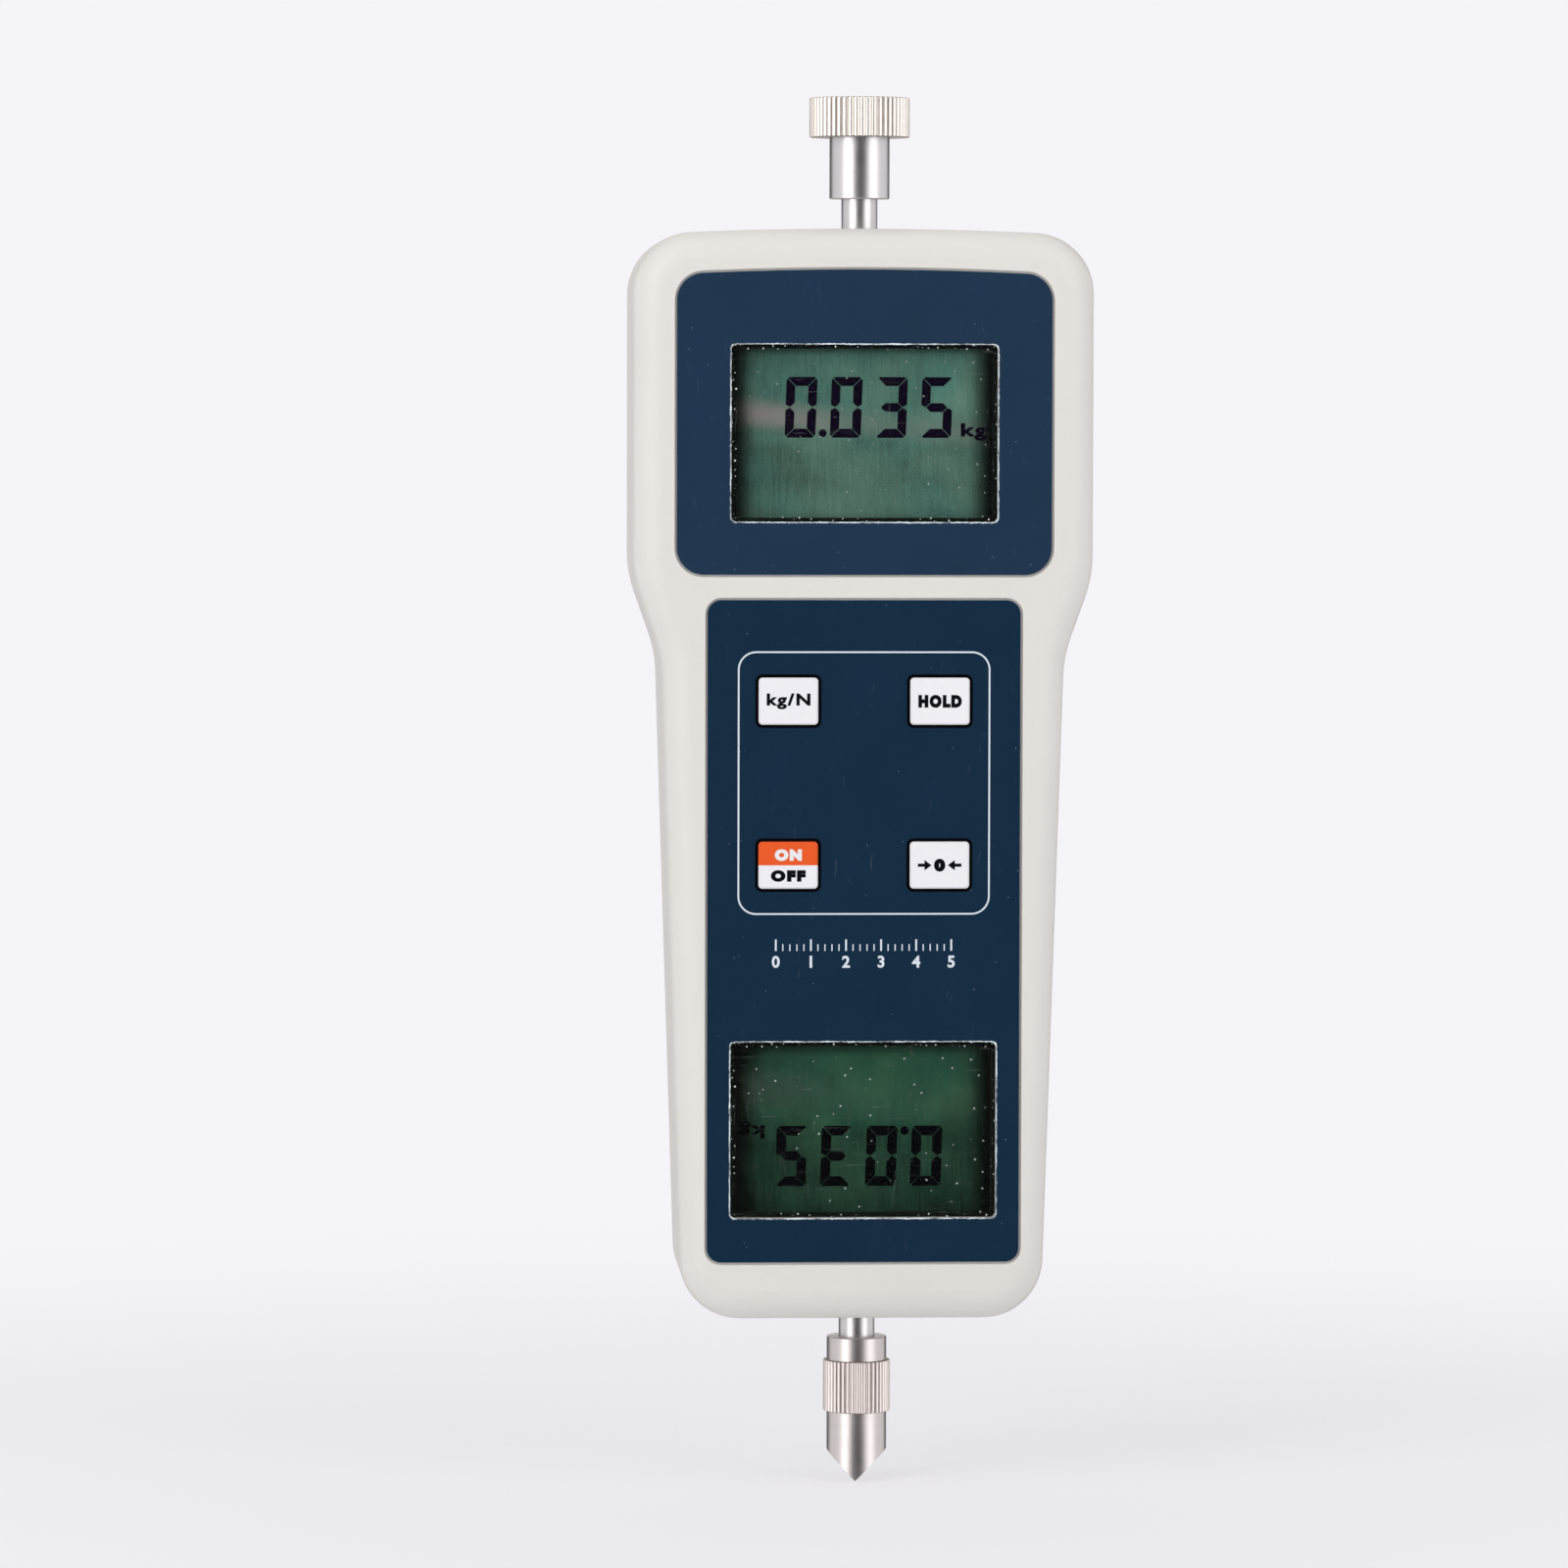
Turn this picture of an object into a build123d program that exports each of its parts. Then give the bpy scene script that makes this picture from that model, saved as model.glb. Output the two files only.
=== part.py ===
from build123d import *
import math
import os

# Lengths are millimetres. X runs to the right seen from the front, Z runs up the measuring axis,
# and the flat back lies at Y = 0 with the body in front of it, towards -Y.
# A depth is a distance in front of the back. The origin is the centre of the stand pattern.

# Housing outline
body_height = 180.4
pattern_height = 100.0
body_depth = 37.0
head_width = 76.2
grip_top_width = 66.8
grip_bottom_width = 59.8
shoulder_below_top = 57.3
waist_below_top = 70.6
corner_radius = 10.0
shoulder_radius = 20.0
crown_radius = 640.0
front_edge_radius = 5.0
back_edge_radius = 4.0

# Housing walls and the joint between its halves
wall = 2.5
axis_behind_face = 16.5
reveal_width = 0.35
reveal_height = 0.5
tongue_width = 1.1
tongue_height = 1.3
tongue_gap = 0.12

# Labels
label_recess = 0.6
label_thickness = 0.5
label_gap = 0.4
head_rim = 7.2
head_label_height = 50.2
head_label_margin = 6.8
head_label_radius = 4.4
head_label_crown = 560.0
grip_rim = 4.1
label_spacing = 4.15
grip_label_margin = 9.8
grip_label_radius = 2.3

# Displays
window_side = 3.8
window_height = 29.2
window_radius = 0.8
head_window_drop = 12.3
grip_window_rise = 7.3
lens_gap = 0.15
lens_thickness = 1.3
lens_sunk = 0.2
frame_rim = 0.5
frame_overlap_x = 2.0
frame_overlap_z = 1.4
glass_wall = 1.0
glass_thickness = 2.8
glass_behind_wall = 1.3
glass_gap = 0.1
strip_end_gap = 2.0
strip_height = 2.4

# Keys
key_width = 9.8
key_height = 7.75
key_radius = 0.65
key_gap = 0.43
key_proud = 0.6
key_pitch_x = 25.0
key_pitch_z = 27.05
keypad_place = 0.407
key_flange = 1.0
key_flange_thickness = 1.0
key_stop_gap = 0.2
key_edge = 0.25
key_travel = 0.3

# Switches under the keys
switch_size = 6.0
switch_height = 3.6
plunger_diameter = 3.5
plunger_gap = 0.08
plunger_in_switch = 1.4

# Circuit boards
board_behind_wall = 5.5
board_thickness = 1.6
board_edge_gap = 0.5
board_spacing = 7.2
display_board_margin = 3.0
board_post_diameter = 4.2
display_post_inset = 6.8
main_post_x = 3.8
main_post_inset = 1.75
main_post_above_frame = 7.6
board_screw_diameter = 2.2
board_screw_head = 4.0
board_screw_head_height = 1.5
board_screw_length = 5.5
chip_height = 1.4
chip_size = 10.0
chip_x = 11.0
ribbon_width = 10.0
ribbon_x = -12.0
ribbon_thickness = 0.3
ribbon_lap = 4.0

# Case screws, one pair in the head, one beside the chassis and one at the lower end
head_screw_inset = 6.6
head_screw_below_top = 13.4
middle_screw_inset = 5.8
middle_screw_below_chassis = 5.0
end_screw_inset = 5.9
end_screw_above_bottom = 9.5
case_screw_diameter = 3.0
case_screw_head = 5.6
case_screw_head_height = 2.0
case_screw_sunk = 9.0
case_screw_behind_wall = 5.5
case_screw_gap = 0.1
head_pocket_gap = 0.3
front_boss_diameter = 7.0
rear_boss_diameter = 8.0

# Spindle, its nuts and its bushes
spindle_diameter = 6.0
spindle_travel = 0.3
running_gap = 0.05
port_gap = 0.4
nut_width = 10.0
nut_height = 5.0
nut_play = 0.05
bush_diameter = 10.0
bush_length = 5.0
bush_flange_diameter = 13.0
bush_flange_thickness = 1.4
bush_gap = 0.05
bush_seat_wall = 1.6

# Load cell
beam_side_gap = 1.4
beam_height = 12.0
beam_depth = 10.0
beam_hole_gap = 0.35
beam_middle_wall = 2.1
beam_end_block = 6.6
flexure_web = 1.2
flexure_slot = 4.0
beam_bolt_z = 3.1
beam_bolt_diameter = 2.5
beam_bolt_head = 4.5
beam_bolt_head_height = 2.5
beam_bolt_length = 12.0
bolt_hole_gap = 0.05
gauge_length = 5.0
gauge_width = 3.2
gauge_thickness = 0.2

# Chassis plate and the stand pattern in it
chassis_side_gap = 2.4
chassis_height = 42.0
chassis_thickness = 3.0
chassis_corner = 2.0
stand_pitch_x = 40.0
stand_pitch_z = 30.0
stand_boss_diameter = 7.0
stand_boss_gap = 0.1
stand_thread_core = 3.3
chassis_screw_x = 12.0
chassis_screw_z = 17.5
chassis_screw_diameter = 3.0
chassis_screw_head = 5.6
chassis_screw_length = 5.0

# Battery compartment and its door
cell_diameter = 14.5
cell_length = 50.5
cell_nub_diameter = 5.5
cell_nub_length = 1.2
cell_side_gap = 0.6
cell_door_gap = 0.4
contact_size = 9.0
contact_thickness = 0.4
leaf_height = 4.0
leaf_width = 7.0
tray_wall = 1.6
tray_spindle_gap = 1.2
tray_collar_depth = 5.0
door_ledge = 1.2
door_thickness = 2.0
door_gap = 0.15
door_above_bottom = 13.9
door_tab_x = 8.0
door_tab_width = 2.4
door_tab_length = 2.0
door_tab_thickness = 1.2
latch_width = 12.0
latch_length = 11.0
latch_slot = 0.8
grip_rib_count = 5
grip_rib_pitch = 1.6
grip_rib_height = 0.4

# Data socket in the right-hand side
socket_below_origin = 17.0
socket_length = 12.0
socket_height = 8.0
socket_depth = 6.0
socket_nose_diameter = 6.0
socket_bore_diameter = 3.6
socket_bore_length = 12.0
socket_wall_gap = 0.2

# Flat head on the upper end of the spindle
head_standoff = 5.1
head_collar_diameter = 10.0
head_collar_length = 10.2
disc_diameter = 16.7
disc_thickness = 6.6
disc_ridge_count = 52
disc_edge = 0.25

# Chisel tip on the lower end of the spindle
tip_standoff = 4.3
tip_collar_diameter = 10.0
tip_collar_length = 3.9
tip_knurl_diameter = 11.2
tip_knurl_length = 8.7
tip_ridge_count = 40
tip_knurl_edge = 0.25
tip_shank_length = 6.3
tip_edge_turn = -5.5
ridge_depth = 0.3
small_edge = 0.2
thread_reach = 8.0
thread_end_room = 0.5

# Places worked out from the sizes above
top_z = body_height - pattern_height
bottom_z = -pattern_height
axis_depth = body_depth - axis_behind_face
parting = axis_depth
inner_front = body_depth - wall
case_screw_length = inner_front - case_screw_behind_wall - case_screw_sunk
label_floor = body_depth - label_recess
label_face = label_floor + label_thickness
head_label_z = top_z - head_label_margin - head_label_height / 2
head_label_width = head_width - 2 * head_rim
grip_label_top = head_label_z - head_label_height / 2 - label_spacing
grip_label_bottom = bottom_z + grip_label_margin
grip_label_width = grip_bottom_width - 2 * grip_rim
window_width = grip_label_width - 2 * window_side
head_window_z = top_z - head_label_margin - head_window_drop - window_height / 2
grip_window_z = grip_label_bottom + grip_window_rise + window_height / 2
board_front = inner_front - board_behind_wall
board_back = board_front - board_thickness
lens_face = label_face - lens_sunk
lens_back = lens_face - lens_thickness
glass_front = inner_front - glass_behind_wall
glass_back = glass_front - glass_thickness
frame_height = window_height + 2 * frame_overlap_z
frame_width = window_width + 2 * frame_overlap_x
glass_width = frame_width - 2 * glass_wall
glass_height = frame_height - 2 * glass_wall
strip_width = glass_width - 2 * strip_end_gap
flange_front = inner_front - key_stop_gap
flange_back = flange_front - key_flange_thickness
display_board_width = head_label_width - 2 * grip_rim
display_board_top = head_window_z + frame_height / 2 + 2 * display_board_margin
display_board_bottom = head_window_z - frame_height / 2 - 2 * display_board_margin
display_post_offset = frame_height / 2 + display_board_margin
display_post_x = display_board_width / 2 - display_post_inset
main_board_top = display_board_bottom - board_spacing
main_board_bottom = grip_window_z - frame_height / 2
grip_frame_top = grip_window_z + frame_height / 2
keypad_z = main_board_top - keypad_place * (main_board_top - grip_frame_top)
key_places = {
    "unit": (-key_pitch_x / 2, keypad_z + key_pitch_z / 2),
    "peak": (key_pitch_x / 2, keypad_z + key_pitch_z / 2),
    "power": (-key_pitch_x / 2, keypad_z - key_pitch_z / 2),
    "zero": (key_pitch_x / 2, keypad_z - key_pitch_z / 2),
}


def grip_half_width(z):
    """Half of the grip's outside width at a height, on the line of its straight taper."""
    waist_z = top_z - waist_below_top
    share = (waist_z - z) / (waist_z - bottom_z)
    return (grip_top_width + share * (grip_bottom_width - grip_top_width)) / 2


middle_screw_z = -chassis_height / 2 - middle_screw_below_chassis
middle_screw_x = grip_half_width(middle_screw_z) - middle_screw_inset
case_screw_pairs = (
    (head_width / 2 - head_screw_inset, top_z - head_screw_below_top),
    (middle_screw_x, middle_screw_z),
    (grip_bottom_width / 2 - end_screw_inset, bottom_z + end_screw_above_bottom),
)
case_screws = [(side * x, z) for x, z in case_screw_pairs for side in (-1, 1)]
main_board_width = 2 * (middle_screw_x - front_boss_diameter / 2 - board_edge_gap)
board_post_pairs = (
    (main_post_x, main_board_top - main_post_inset),
    (main_board_width / 2 - main_post_inset, grip_frame_top + main_post_above_frame),
    (display_post_x, head_window_z - display_post_offset),
    (display_post_x, head_window_z + display_post_offset),
)
board_posts = [(side * x, z) for x, z in board_post_pairs for side in (-1, 1)]
beam_length = 2 * (grip_half_width(-beam_height / 2) - wall - beam_side_gap)
beam_front = axis_depth + beam_depth / 2
beam_back = axis_depth - beam_depth / 2
flexure_radius = beam_height / 2 - flexure_web
flexure_inner_x = spindle_diameter / 2 + beam_hole_gap + beam_middle_wall + flexure_radius
flexure_outer_x = beam_length / 2 - beam_end_block - flexure_radius
beam_bolt_x = (beam_length - beam_end_block) / 2
beam_bolts = [(sx * beam_bolt_x, sz * beam_bolt_z) for sx in (-1, 1) for sz in (-1, 1)]
stand_holes = [(sx * stand_pitch_x / 2, sz * stand_pitch_z / 2) for sx in (-1, 1) for sz in (-1, 1)]
chassis_front = wall + chassis_thickness
chassis_width = 2 * (grip_half_width(-chassis_height / 2) - wall - chassis_side_gap)
chassis_screws = [(sx * chassis_screw_x, sz * chassis_screw_z) for sx in (-1, 1) for sz in (-1, 1)]
bay_width = cell_diameter + 2 * cell_side_gap
bay_height = cell_length + 2 * contact_thickness + leaf_height
bay_front = door_thickness + 2 * cell_door_gap + cell_diameter
bay_x = spindle_diameter / 2 + tray_spindle_gap + tray_wall + bay_width / 2
door_width = 2 * bay_x + bay_width + 2 * door_ledge
door_height = bay_height + 2 * door_ledge
door_z = bottom_z + door_above_bottom + door_height / 2
bay_top = door_z + bay_height / 2
bay_bottom = door_z - bay_height / 2
cell_depth = door_thickness + cell_door_gap + cell_diameter / 2
socket_z = -socket_below_origin
socket_axis_depth = board_back - socket_depth / 2
head_bottom = top_z + head_standoff
disc_bottom = head_bottom + head_collar_length
tip_top = bottom_z - tip_standoff
knurl_top = tip_top - tip_collar_length
shank_top = knurl_top - tip_knurl_length
shank_bottom = shank_top - tip_shank_length
tip_end = shank_bottom - tip_collar_diameter / 2
spindle_top = head_bottom + thread_reach
spindle_bottom = tip_top - thread_reach


# Helpers
def slab(face, back, front):
    """Solid between two depths, with its outline drawn in X and Z."""
    return extrude(Plane.XZ.offset(back) * face, amount=front - back)


def post(x, z, diameter, back, front):
    """Round post or hole along the depth."""
    return slab(Pos(x, z) * Circle(diameter / 2), back, front)


def rounded(width, height, radius, x=0.0, z=0.0):
    return Pos(x, z) * RectangleRounded(width, height, radius)


def on_axis(diameter, low, high):
    """Round bar on the measuring axis between two heights."""
    bar = Cylinder(diameter / 2, high - low, align=(Align.CENTER, Align.CENTER, Align.MIN))
    return Pos(0, -axis_depth, low) * bar


def crowned(half_width, top, bottom, bottom_half_width, corner, crown, waist=()):
    """Symmetric outline with a crowned top, round corners and an optional shoulder."""
    slope = (half_width - corner) / crown
    apex = top + crown * (math.hypot(1, slope) - 1)
    right = [(half_width, apex - slope * half_width), *[(x, z) for x, z, _ in waist], (bottom_half_width, bottom)]
    radii = [corner, *[r for _, _, r in waist], corner]
    left = [(-x, z) for x, z in reversed(right)]
    line = FilletPolyline((0, apex), *right, *left, radius=[crown, *radii, *reversed(radii)], close=True)
    return make_face(line)


def case_outline():
    shoulder = (head_width / 2, top_z - shoulder_below_top, shoulder_radius)
    waist = (grip_top_width / 2, top_z - waist_below_top, shoulder_radius)
    return crowned(head_width / 2, top_z, bottom_z, grip_bottom_width / 2, corner_radius, crown_radius,
                   (shoulder, waist))


def head_label_outline():
    top = head_label_z + head_label_height / 2
    half = head_label_width / 2
    return crowned(half, top, top - head_label_height, half, head_label_radius, head_label_crown)


def grip_label_outline():
    middle = (grip_label_top + grip_label_bottom) / 2
    return rounded(grip_label_width, grip_label_top - grip_label_bottom, grip_label_radius, 0, middle)


def window(z, margin=0.0):
    return rounded(window_width - 2 * margin, window_height - 2 * margin, window_radius, 0, z)


def key_hole(place):
    return rounded(key_width + 2 * key_gap, key_height + 2 * key_gap, key_radius + key_gap, *place)


def joined(solids):
    return Compound(children=list(solids))


# Housing
def case_body():
    outline = case_outline()
    outer = slab(outline, 0, body_depth)
    outer = fillet(outer.faces().sort_by(Axis.Y)[0].edges(), front_edge_radius)
    outer = fillet(outer.faces().sort_by(Axis.Y)[-1].edges(), back_edge_radius)
    inner = slab(offset(outline, -wall), wall, inner_front)
    inner = chamfer(inner.faces().sort_by(Axis.Y)[0].edges(), front_edge_radius - wall)
    inner = chamfer(inner.faces().sort_by(Axis.Y)[-1].edges(), back_edge_radius - wall)
    return outer - inner, inner


def bush_seats():
    """Blocks inside the end walls that the two bushes lie in."""
    half = bush_flange_diameter / 2 + bush_seat_wall
    length = bush_length + bush_seat_wall
    seats = []
    for end, sign in ((top_z - wall, -1), (bottom_z + wall, 1)):
        middle = end + sign * length / 2
        seats.append(slab(Pos(0, middle) * Rectangle(2 * half, length), axis_depth - half, axis_depth + half))
    return seats


def bush_bores():
    """Room for the bushes, their flanges and the spindle."""
    port = on_axis(spindle_diameter + 2 * port_gap, bottom_z - 1, top_z + 1)
    bores = [port]
    for end, sign in ((top_z - wall, -1), (bottom_z + wall, 1)):
        flange_end = end + sign * (bush_length + bush_gap)
        flange_start = flange_end - sign * (bush_flange_thickness + 2 * bush_gap)
        low, high = sorted((end, flange_end))
        bores.append(on_axis(bush_diameter + 2 * bush_gap, low, high))
        low, high = sorted((flange_start, flange_end))
        bores.append(on_axis(bush_flange_diameter + 2 * bush_gap, low, high))
    return bores


def tongue(width_gap=0.0, height_gap=0.0):
    outline = case_outline()
    outer = offset(outline, -(wall - tongue_width - width_gap))
    ring = outer - offset(outline, -wall)
    ring -= Rectangle(bush_flange_diameter + 2 * bush_seat_wall + 2 * tongue_width, 3 * body_height)
    return slab(ring, parting - tongue_height - height_gap, parting)


def socket_hole():
    bar = Cylinder(socket_nose_diameter / 2 + socket_wall_gap, head_width, rotation=(0, 90, 0),
                   align=(Align.CENTER, Align.CENTER, Align.MIN))
    return Pos(grip_bottom_width / 4, -socket_axis_depth, socket_z) * bar


def front_case(body, seats, bores, cavity):
    case = split(body, bisect_by=Plane.XZ.offset(parting), keep=Keep.TOP)
    room = split(cavity, bisect_by=Plane.XZ.offset(parting), keep=Keep.TOP)
    for x, z in case_screws:
        case += post(x, z, front_boss_diameter, parting, inner_front + 1) & (room + case)
    for x, z in board_posts:
        case += post(x, z, board_post_diameter, board_front, inner_front + 1)
    for seat in seats:
        case += split(seat, bisect_by=Plane.XZ.offset(parting), keep=Keep.TOP) & room
    case += tongue()
    case -= bores
    for x, z in case_screws:
        hole_end = case_screw_sunk + case_screw_length + 2 * case_screw_gap
        case -= post(x, z, case_screw_diameter + 2 * case_screw_gap, 0, hole_end)
    for x, z in board_posts:
        case -= post(x, z, board_screw_diameter + 2 * case_screw_gap, board_front,
                     board_back + board_screw_length + case_screw_gap)
    case -= slab(offset(head_label_outline(), label_gap), label_floor, body_depth + 1)
    case -= slab(offset(grip_label_outline(), label_gap), label_floor, body_depth + 1)
    for z in (head_window_z, grip_window_z):
        case -= slab(window(z), inner_front - 1, body_depth)
    for place in key_places.values():
        case -= slab(key_hole(place), inner_front - 1, body_depth)
    return case - socket_hole()


def door_outline(margin=0.0):
    return rounded(door_width + 2 * margin, door_height + 2 * margin, window_radius + margin, 0, door_z)


def bay(margin=0.0):
    """Outlines of the two cell bays, one each side of the spindle."""
    cell_bay = Rectangle(bay_width + 2 * margin, bay_height + 2 * margin)
    return [Pos(side * bay_x, door_z) * cell_bay for side in (-1, 1)]


def battery_tray():
    """Boxes for the two cells, with a collar that the door lies in."""
    tray = slab(offset(door_outline(), door_gap + tray_wall), 0, tray_collar_depth)
    for face in bay(tray_wall):
        tray += slab(face, tray_collar_depth, bay_front + tray_wall)
    return tray


def battery_tray_room():
    room = slab(door_outline(door_gap), -1, door_thickness + door_gap / 2)
    for face in bay():
        room += slab(face, 0, bay_front)
    for x in (-door_tab_x, door_tab_x):
        slot = Pos(x, door_z + door_height / 2) * Rectangle(door_tab_width + 4 * door_gap,
                                                            2 * (door_tab_length + 2 * door_gap))
        room += slab(slot, door_thickness, door_thickness + 2 * door_tab_thickness)
    scoop = Pos(0, door_z - door_height / 2 - door_gap) * Circle(latch_width / 2 - 1)
    room += slab(scoop, -1, door_thickness / 2)
    return room


def rear_case(body, seats, bores, cavity):
    case = split(body, bisect_by=Plane.XZ.offset(parting), keep=Keep.BOTTOM)
    room = split(cavity, bisect_by=Plane.XZ.offset(parting), keep=Keep.BOTTOM)
    for x, z in case_screws:
        case += post(x, z, rear_boss_diameter, 0.5, parting) & (room + case)
    for seat in seats:
        case += split(seat, bisect_by=Plane.XZ.offset(parting), keep=Keep.BOTTOM) & room
    case += battery_tray()
    case -= bores
    case -= tongue(tongue_gap, tongue_gap)
    outline = case_outline()
    case -= slab(outline - offset(outline, -reveal_width), parting - reveal_height, parting)
    for x, z in case_screws:
        case -= post(x, z, case_screw_diameter + 2 * case_screw_gap, 0, parting)
        case -= post(x, z, case_screw_head + 2 * head_pocket_gap, -1, case_screw_sunk)
    for x, z in stand_holes:
        case -= post(x, z, stand_boss_diameter + 2 * stand_boss_gap, -1, wall)
    for x, z in chassis_screws:
        case -= chassis_screw(x, z, case_screw_gap)
    return case - battery_tray_room() - socket_hole()


# Battery door and cells
def battery_door():
    door = slab(door_outline(), 0, door_thickness)
    door_top = door_z + door_height / 2
    for x in (-door_tab_x, door_tab_x):
        tab = Pos(x, door_top) * Rectangle(door_tab_width, 2 * door_tab_length)
        door += slab(tab, door_thickness, door_thickness + door_tab_thickness)
    door_bottom = door_z - door_height / 2
    finger = Pos(0, door_bottom + latch_length / 2) * Rectangle(latch_width, latch_length)
    reach = latch_width / 2 + latch_slot
    around = Pos(0, door_bottom + (latch_length + latch_slot) / 2) * Rectangle(2 * reach, latch_length + latch_slot)
    slots = around - finger - Pos(0, door_bottom + latch_length) * Rectangle(latch_width / 2, 4 * latch_slot)
    door -= slab(slots, -1, door_thickness + 1)
    for i in range(grip_rib_count):
        rib = Pos(0, door_bottom + (i + 1) * grip_rib_pitch) * Rectangle(latch_width - 2 * latch_slot, grip_rib_pitch / 2)
        door += slab(rib, -grip_rib_height, door_thickness / 2)
    return door


def battery_cells():
    """Two cells, the left one with its nub up and the right one with its nub down."""
    align = (Align.CENTER, Align.CENTER, Align.MIN)
    can = Cylinder(cell_diameter / 2, cell_length - cell_nub_length, align=align)
    can = chamfer(can.edges().filter_by(GeomType.CIRCLE), small_edge)
    cell = can + Cylinder(cell_nub_diameter / 2, cell_length, align=align)
    return joined([
        Pos(-bay_x, -cell_depth, bay_top - contact_thickness - cell_length) * cell,
        Pos(bay_x, -cell_depth, bay_bottom + contact_thickness + cell_length) * Rot(180, 0, 0) * cell,
    ])


def battery_contacts():
    """Flat plates at the nub ends of the cells."""
    plate = Box(contact_size, contact_size, contact_thickness, align=(Align.CENTER, Align.CENTER, Align.MIN))
    return joined([Pos(-bay_x, -cell_depth, bay_top - contact_thickness) * plate,
                   Pos(bay_x, -cell_depth, bay_bottom) * plate])


def battery_leaves():
    """Bent leaf springs on plates at the flat ends of the cells."""
    half, thick = contact_size / 2, contact_thickness
    peak = thick + leaf_height
    profile = make_face(Polyline((-half, 0), (half, 0), (half, thick), (thick - half, thick), (0, peak - 2 * thick),
                                 (half - 2 * thick, peak / 2), (half - thick, peak / 2 + thick / 2),
                                 (thick, peak), (-thick, peak), (-half, thick), close=True))
    leaf = extrude(Plane.YZ.offset(-leaf_width / 2) * profile, amount=leaf_width)
    return joined([Pos(-bay_x, -cell_depth, bay_bottom) * leaf,
                   Pos(bay_x, -cell_depth, bay_top) * Rot(180, 0, 0) * leaf])


# Labels and displays
def head_label():
    return slab(head_label_outline() - window(head_window_z), label_floor, label_face)


def grip_label():
    face = grip_label_outline() - window(grip_window_z)
    for place in key_places.values():
        face -= key_hole(place)
    return slab(face, label_floor, label_face)


def lens(z):
    return slab(window(z, lens_gap), lens_back, lens_face)


def display_frame(z):
    frame = slab(Pos(0, z) * Rectangle(frame_width, frame_height), board_front, inner_front)
    frame += slab(window(z, lens_gap), board_front, lens_back)
    frame -= slab(Pos(0, z) * Rectangle(glass_width + 2 * glass_gap, glass_height + 2 * glass_gap),
                  board_front, glass_front)
    return frame - slab(window(z, lens_gap + frame_rim), board_front, lens_face)


def display_glass(z):
    return slab(Pos(0, z) * Rectangle(glass_width, glass_height), glass_back, glass_front)


def contact_strips(z):
    offset_z = (glass_height - strip_height) / 2
    strips = [slab(Pos(0, z + s * offset_z) * Rectangle(strip_width, strip_height), board_front, glass_back)
              for s in (-1, 1)]
    return joined(strips)


# Circuit boards and what they carry
def board(width, bottom, top):
    face = Pos(0, (top + bottom) / 2) * Rectangle(width, top - bottom)
    plate = slab(face, board_back, board_front)
    for x, z in board_posts:
        plate -= post(x, z, board_screw_diameter + 2 * case_screw_gap, board_back - 1, board_front + 1)
    return plate


def board_screws():
    screws = []
    for x, z in board_posts:
        screw = post(x, z, board_screw_diameter, board_back, board_back + board_screw_length)
        screws.append(screw + post(x, z, board_screw_head, board_back - board_screw_head_height, board_back))
    return joined(screws)


def board_chips():
    """Processor, converter and battery plug on the back of the main board."""
    rise = grip_window_z + grip_window_rise
    places = ((-chip_x, rise, chip_size, chip_size), (-chip_x, keypad_z, chip_size / 2, chip_size),
              (chip_x, rise, chip_size, chip_size / 2))
    chips = [slab(Pos(x, z) * Rectangle(w, h), board_back - chip_height, board_back) for x, z, w, h in places]
    return joined(chips)


def ribbon_cable():
    low, high = main_board_top - ribbon_lap, display_board_bottom + ribbon_lap
    face = Pos(ribbon_x, (low + high) / 2) * Rectangle(ribbon_width, high - low)
    return slab(face, board_back - ribbon_thickness, board_back)


def data_socket():
    side = grip_half_width(socket_z)
    body_end = side - wall - 1
    middle = body_end - socket_length / 2
    body = slab(Pos(middle, socket_z) * Rectangle(socket_length, socket_height), board_back - socket_depth, board_back)
    nose = Cylinder(socket_nose_diameter / 2, side - small_edge - body_end, rotation=(0, 90, 0),
                    align=(Align.CENTER, Align.CENTER, Align.MIN))
    bore = Cylinder(socket_bore_diameter / 2, socket_bore_length + 1, rotation=(0, 90, 0),
                    align=(Align.CENTER, Align.CENTER, Align.MIN))
    body += Pos(body_end, -socket_axis_depth, socket_z) * nose
    return body - Pos(side - small_edge - socket_bore_length, -socket_axis_depth, socket_z) * bore


# Keys
def key_cap(place):
    cap = slab(rounded(key_width, key_height, key_radius, *place), flange_back, label_face + key_proud)
    cap = chamfer(cap.faces().sort_by(Axis.Y)[0].edges(), key_edge)
    flange = rounded(key_width + 2 * key_flange, key_height + 2 * key_flange, key_radius + key_gap, *place)
    return cap + slab(flange, flange_back, flange_front)


def switch_plunger(place):
    top = board_front + switch_height
    return post(*place, plunger_diameter, top - plunger_in_switch, flange_back)


def key_switches():
    switches = []
    for x, z in key_places.values():
        top = board_front + switch_height
        body = slab(Pos(x, z) * Rectangle(switch_size, switch_size), board_front, top)
        bore_floor = top - plunger_in_switch - 2 * key_travel
        switches.append(body - post(x, z, plunger_diameter + 2 * plunger_gap, bore_floor, top + 1))
    return joined(switches)


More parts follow.
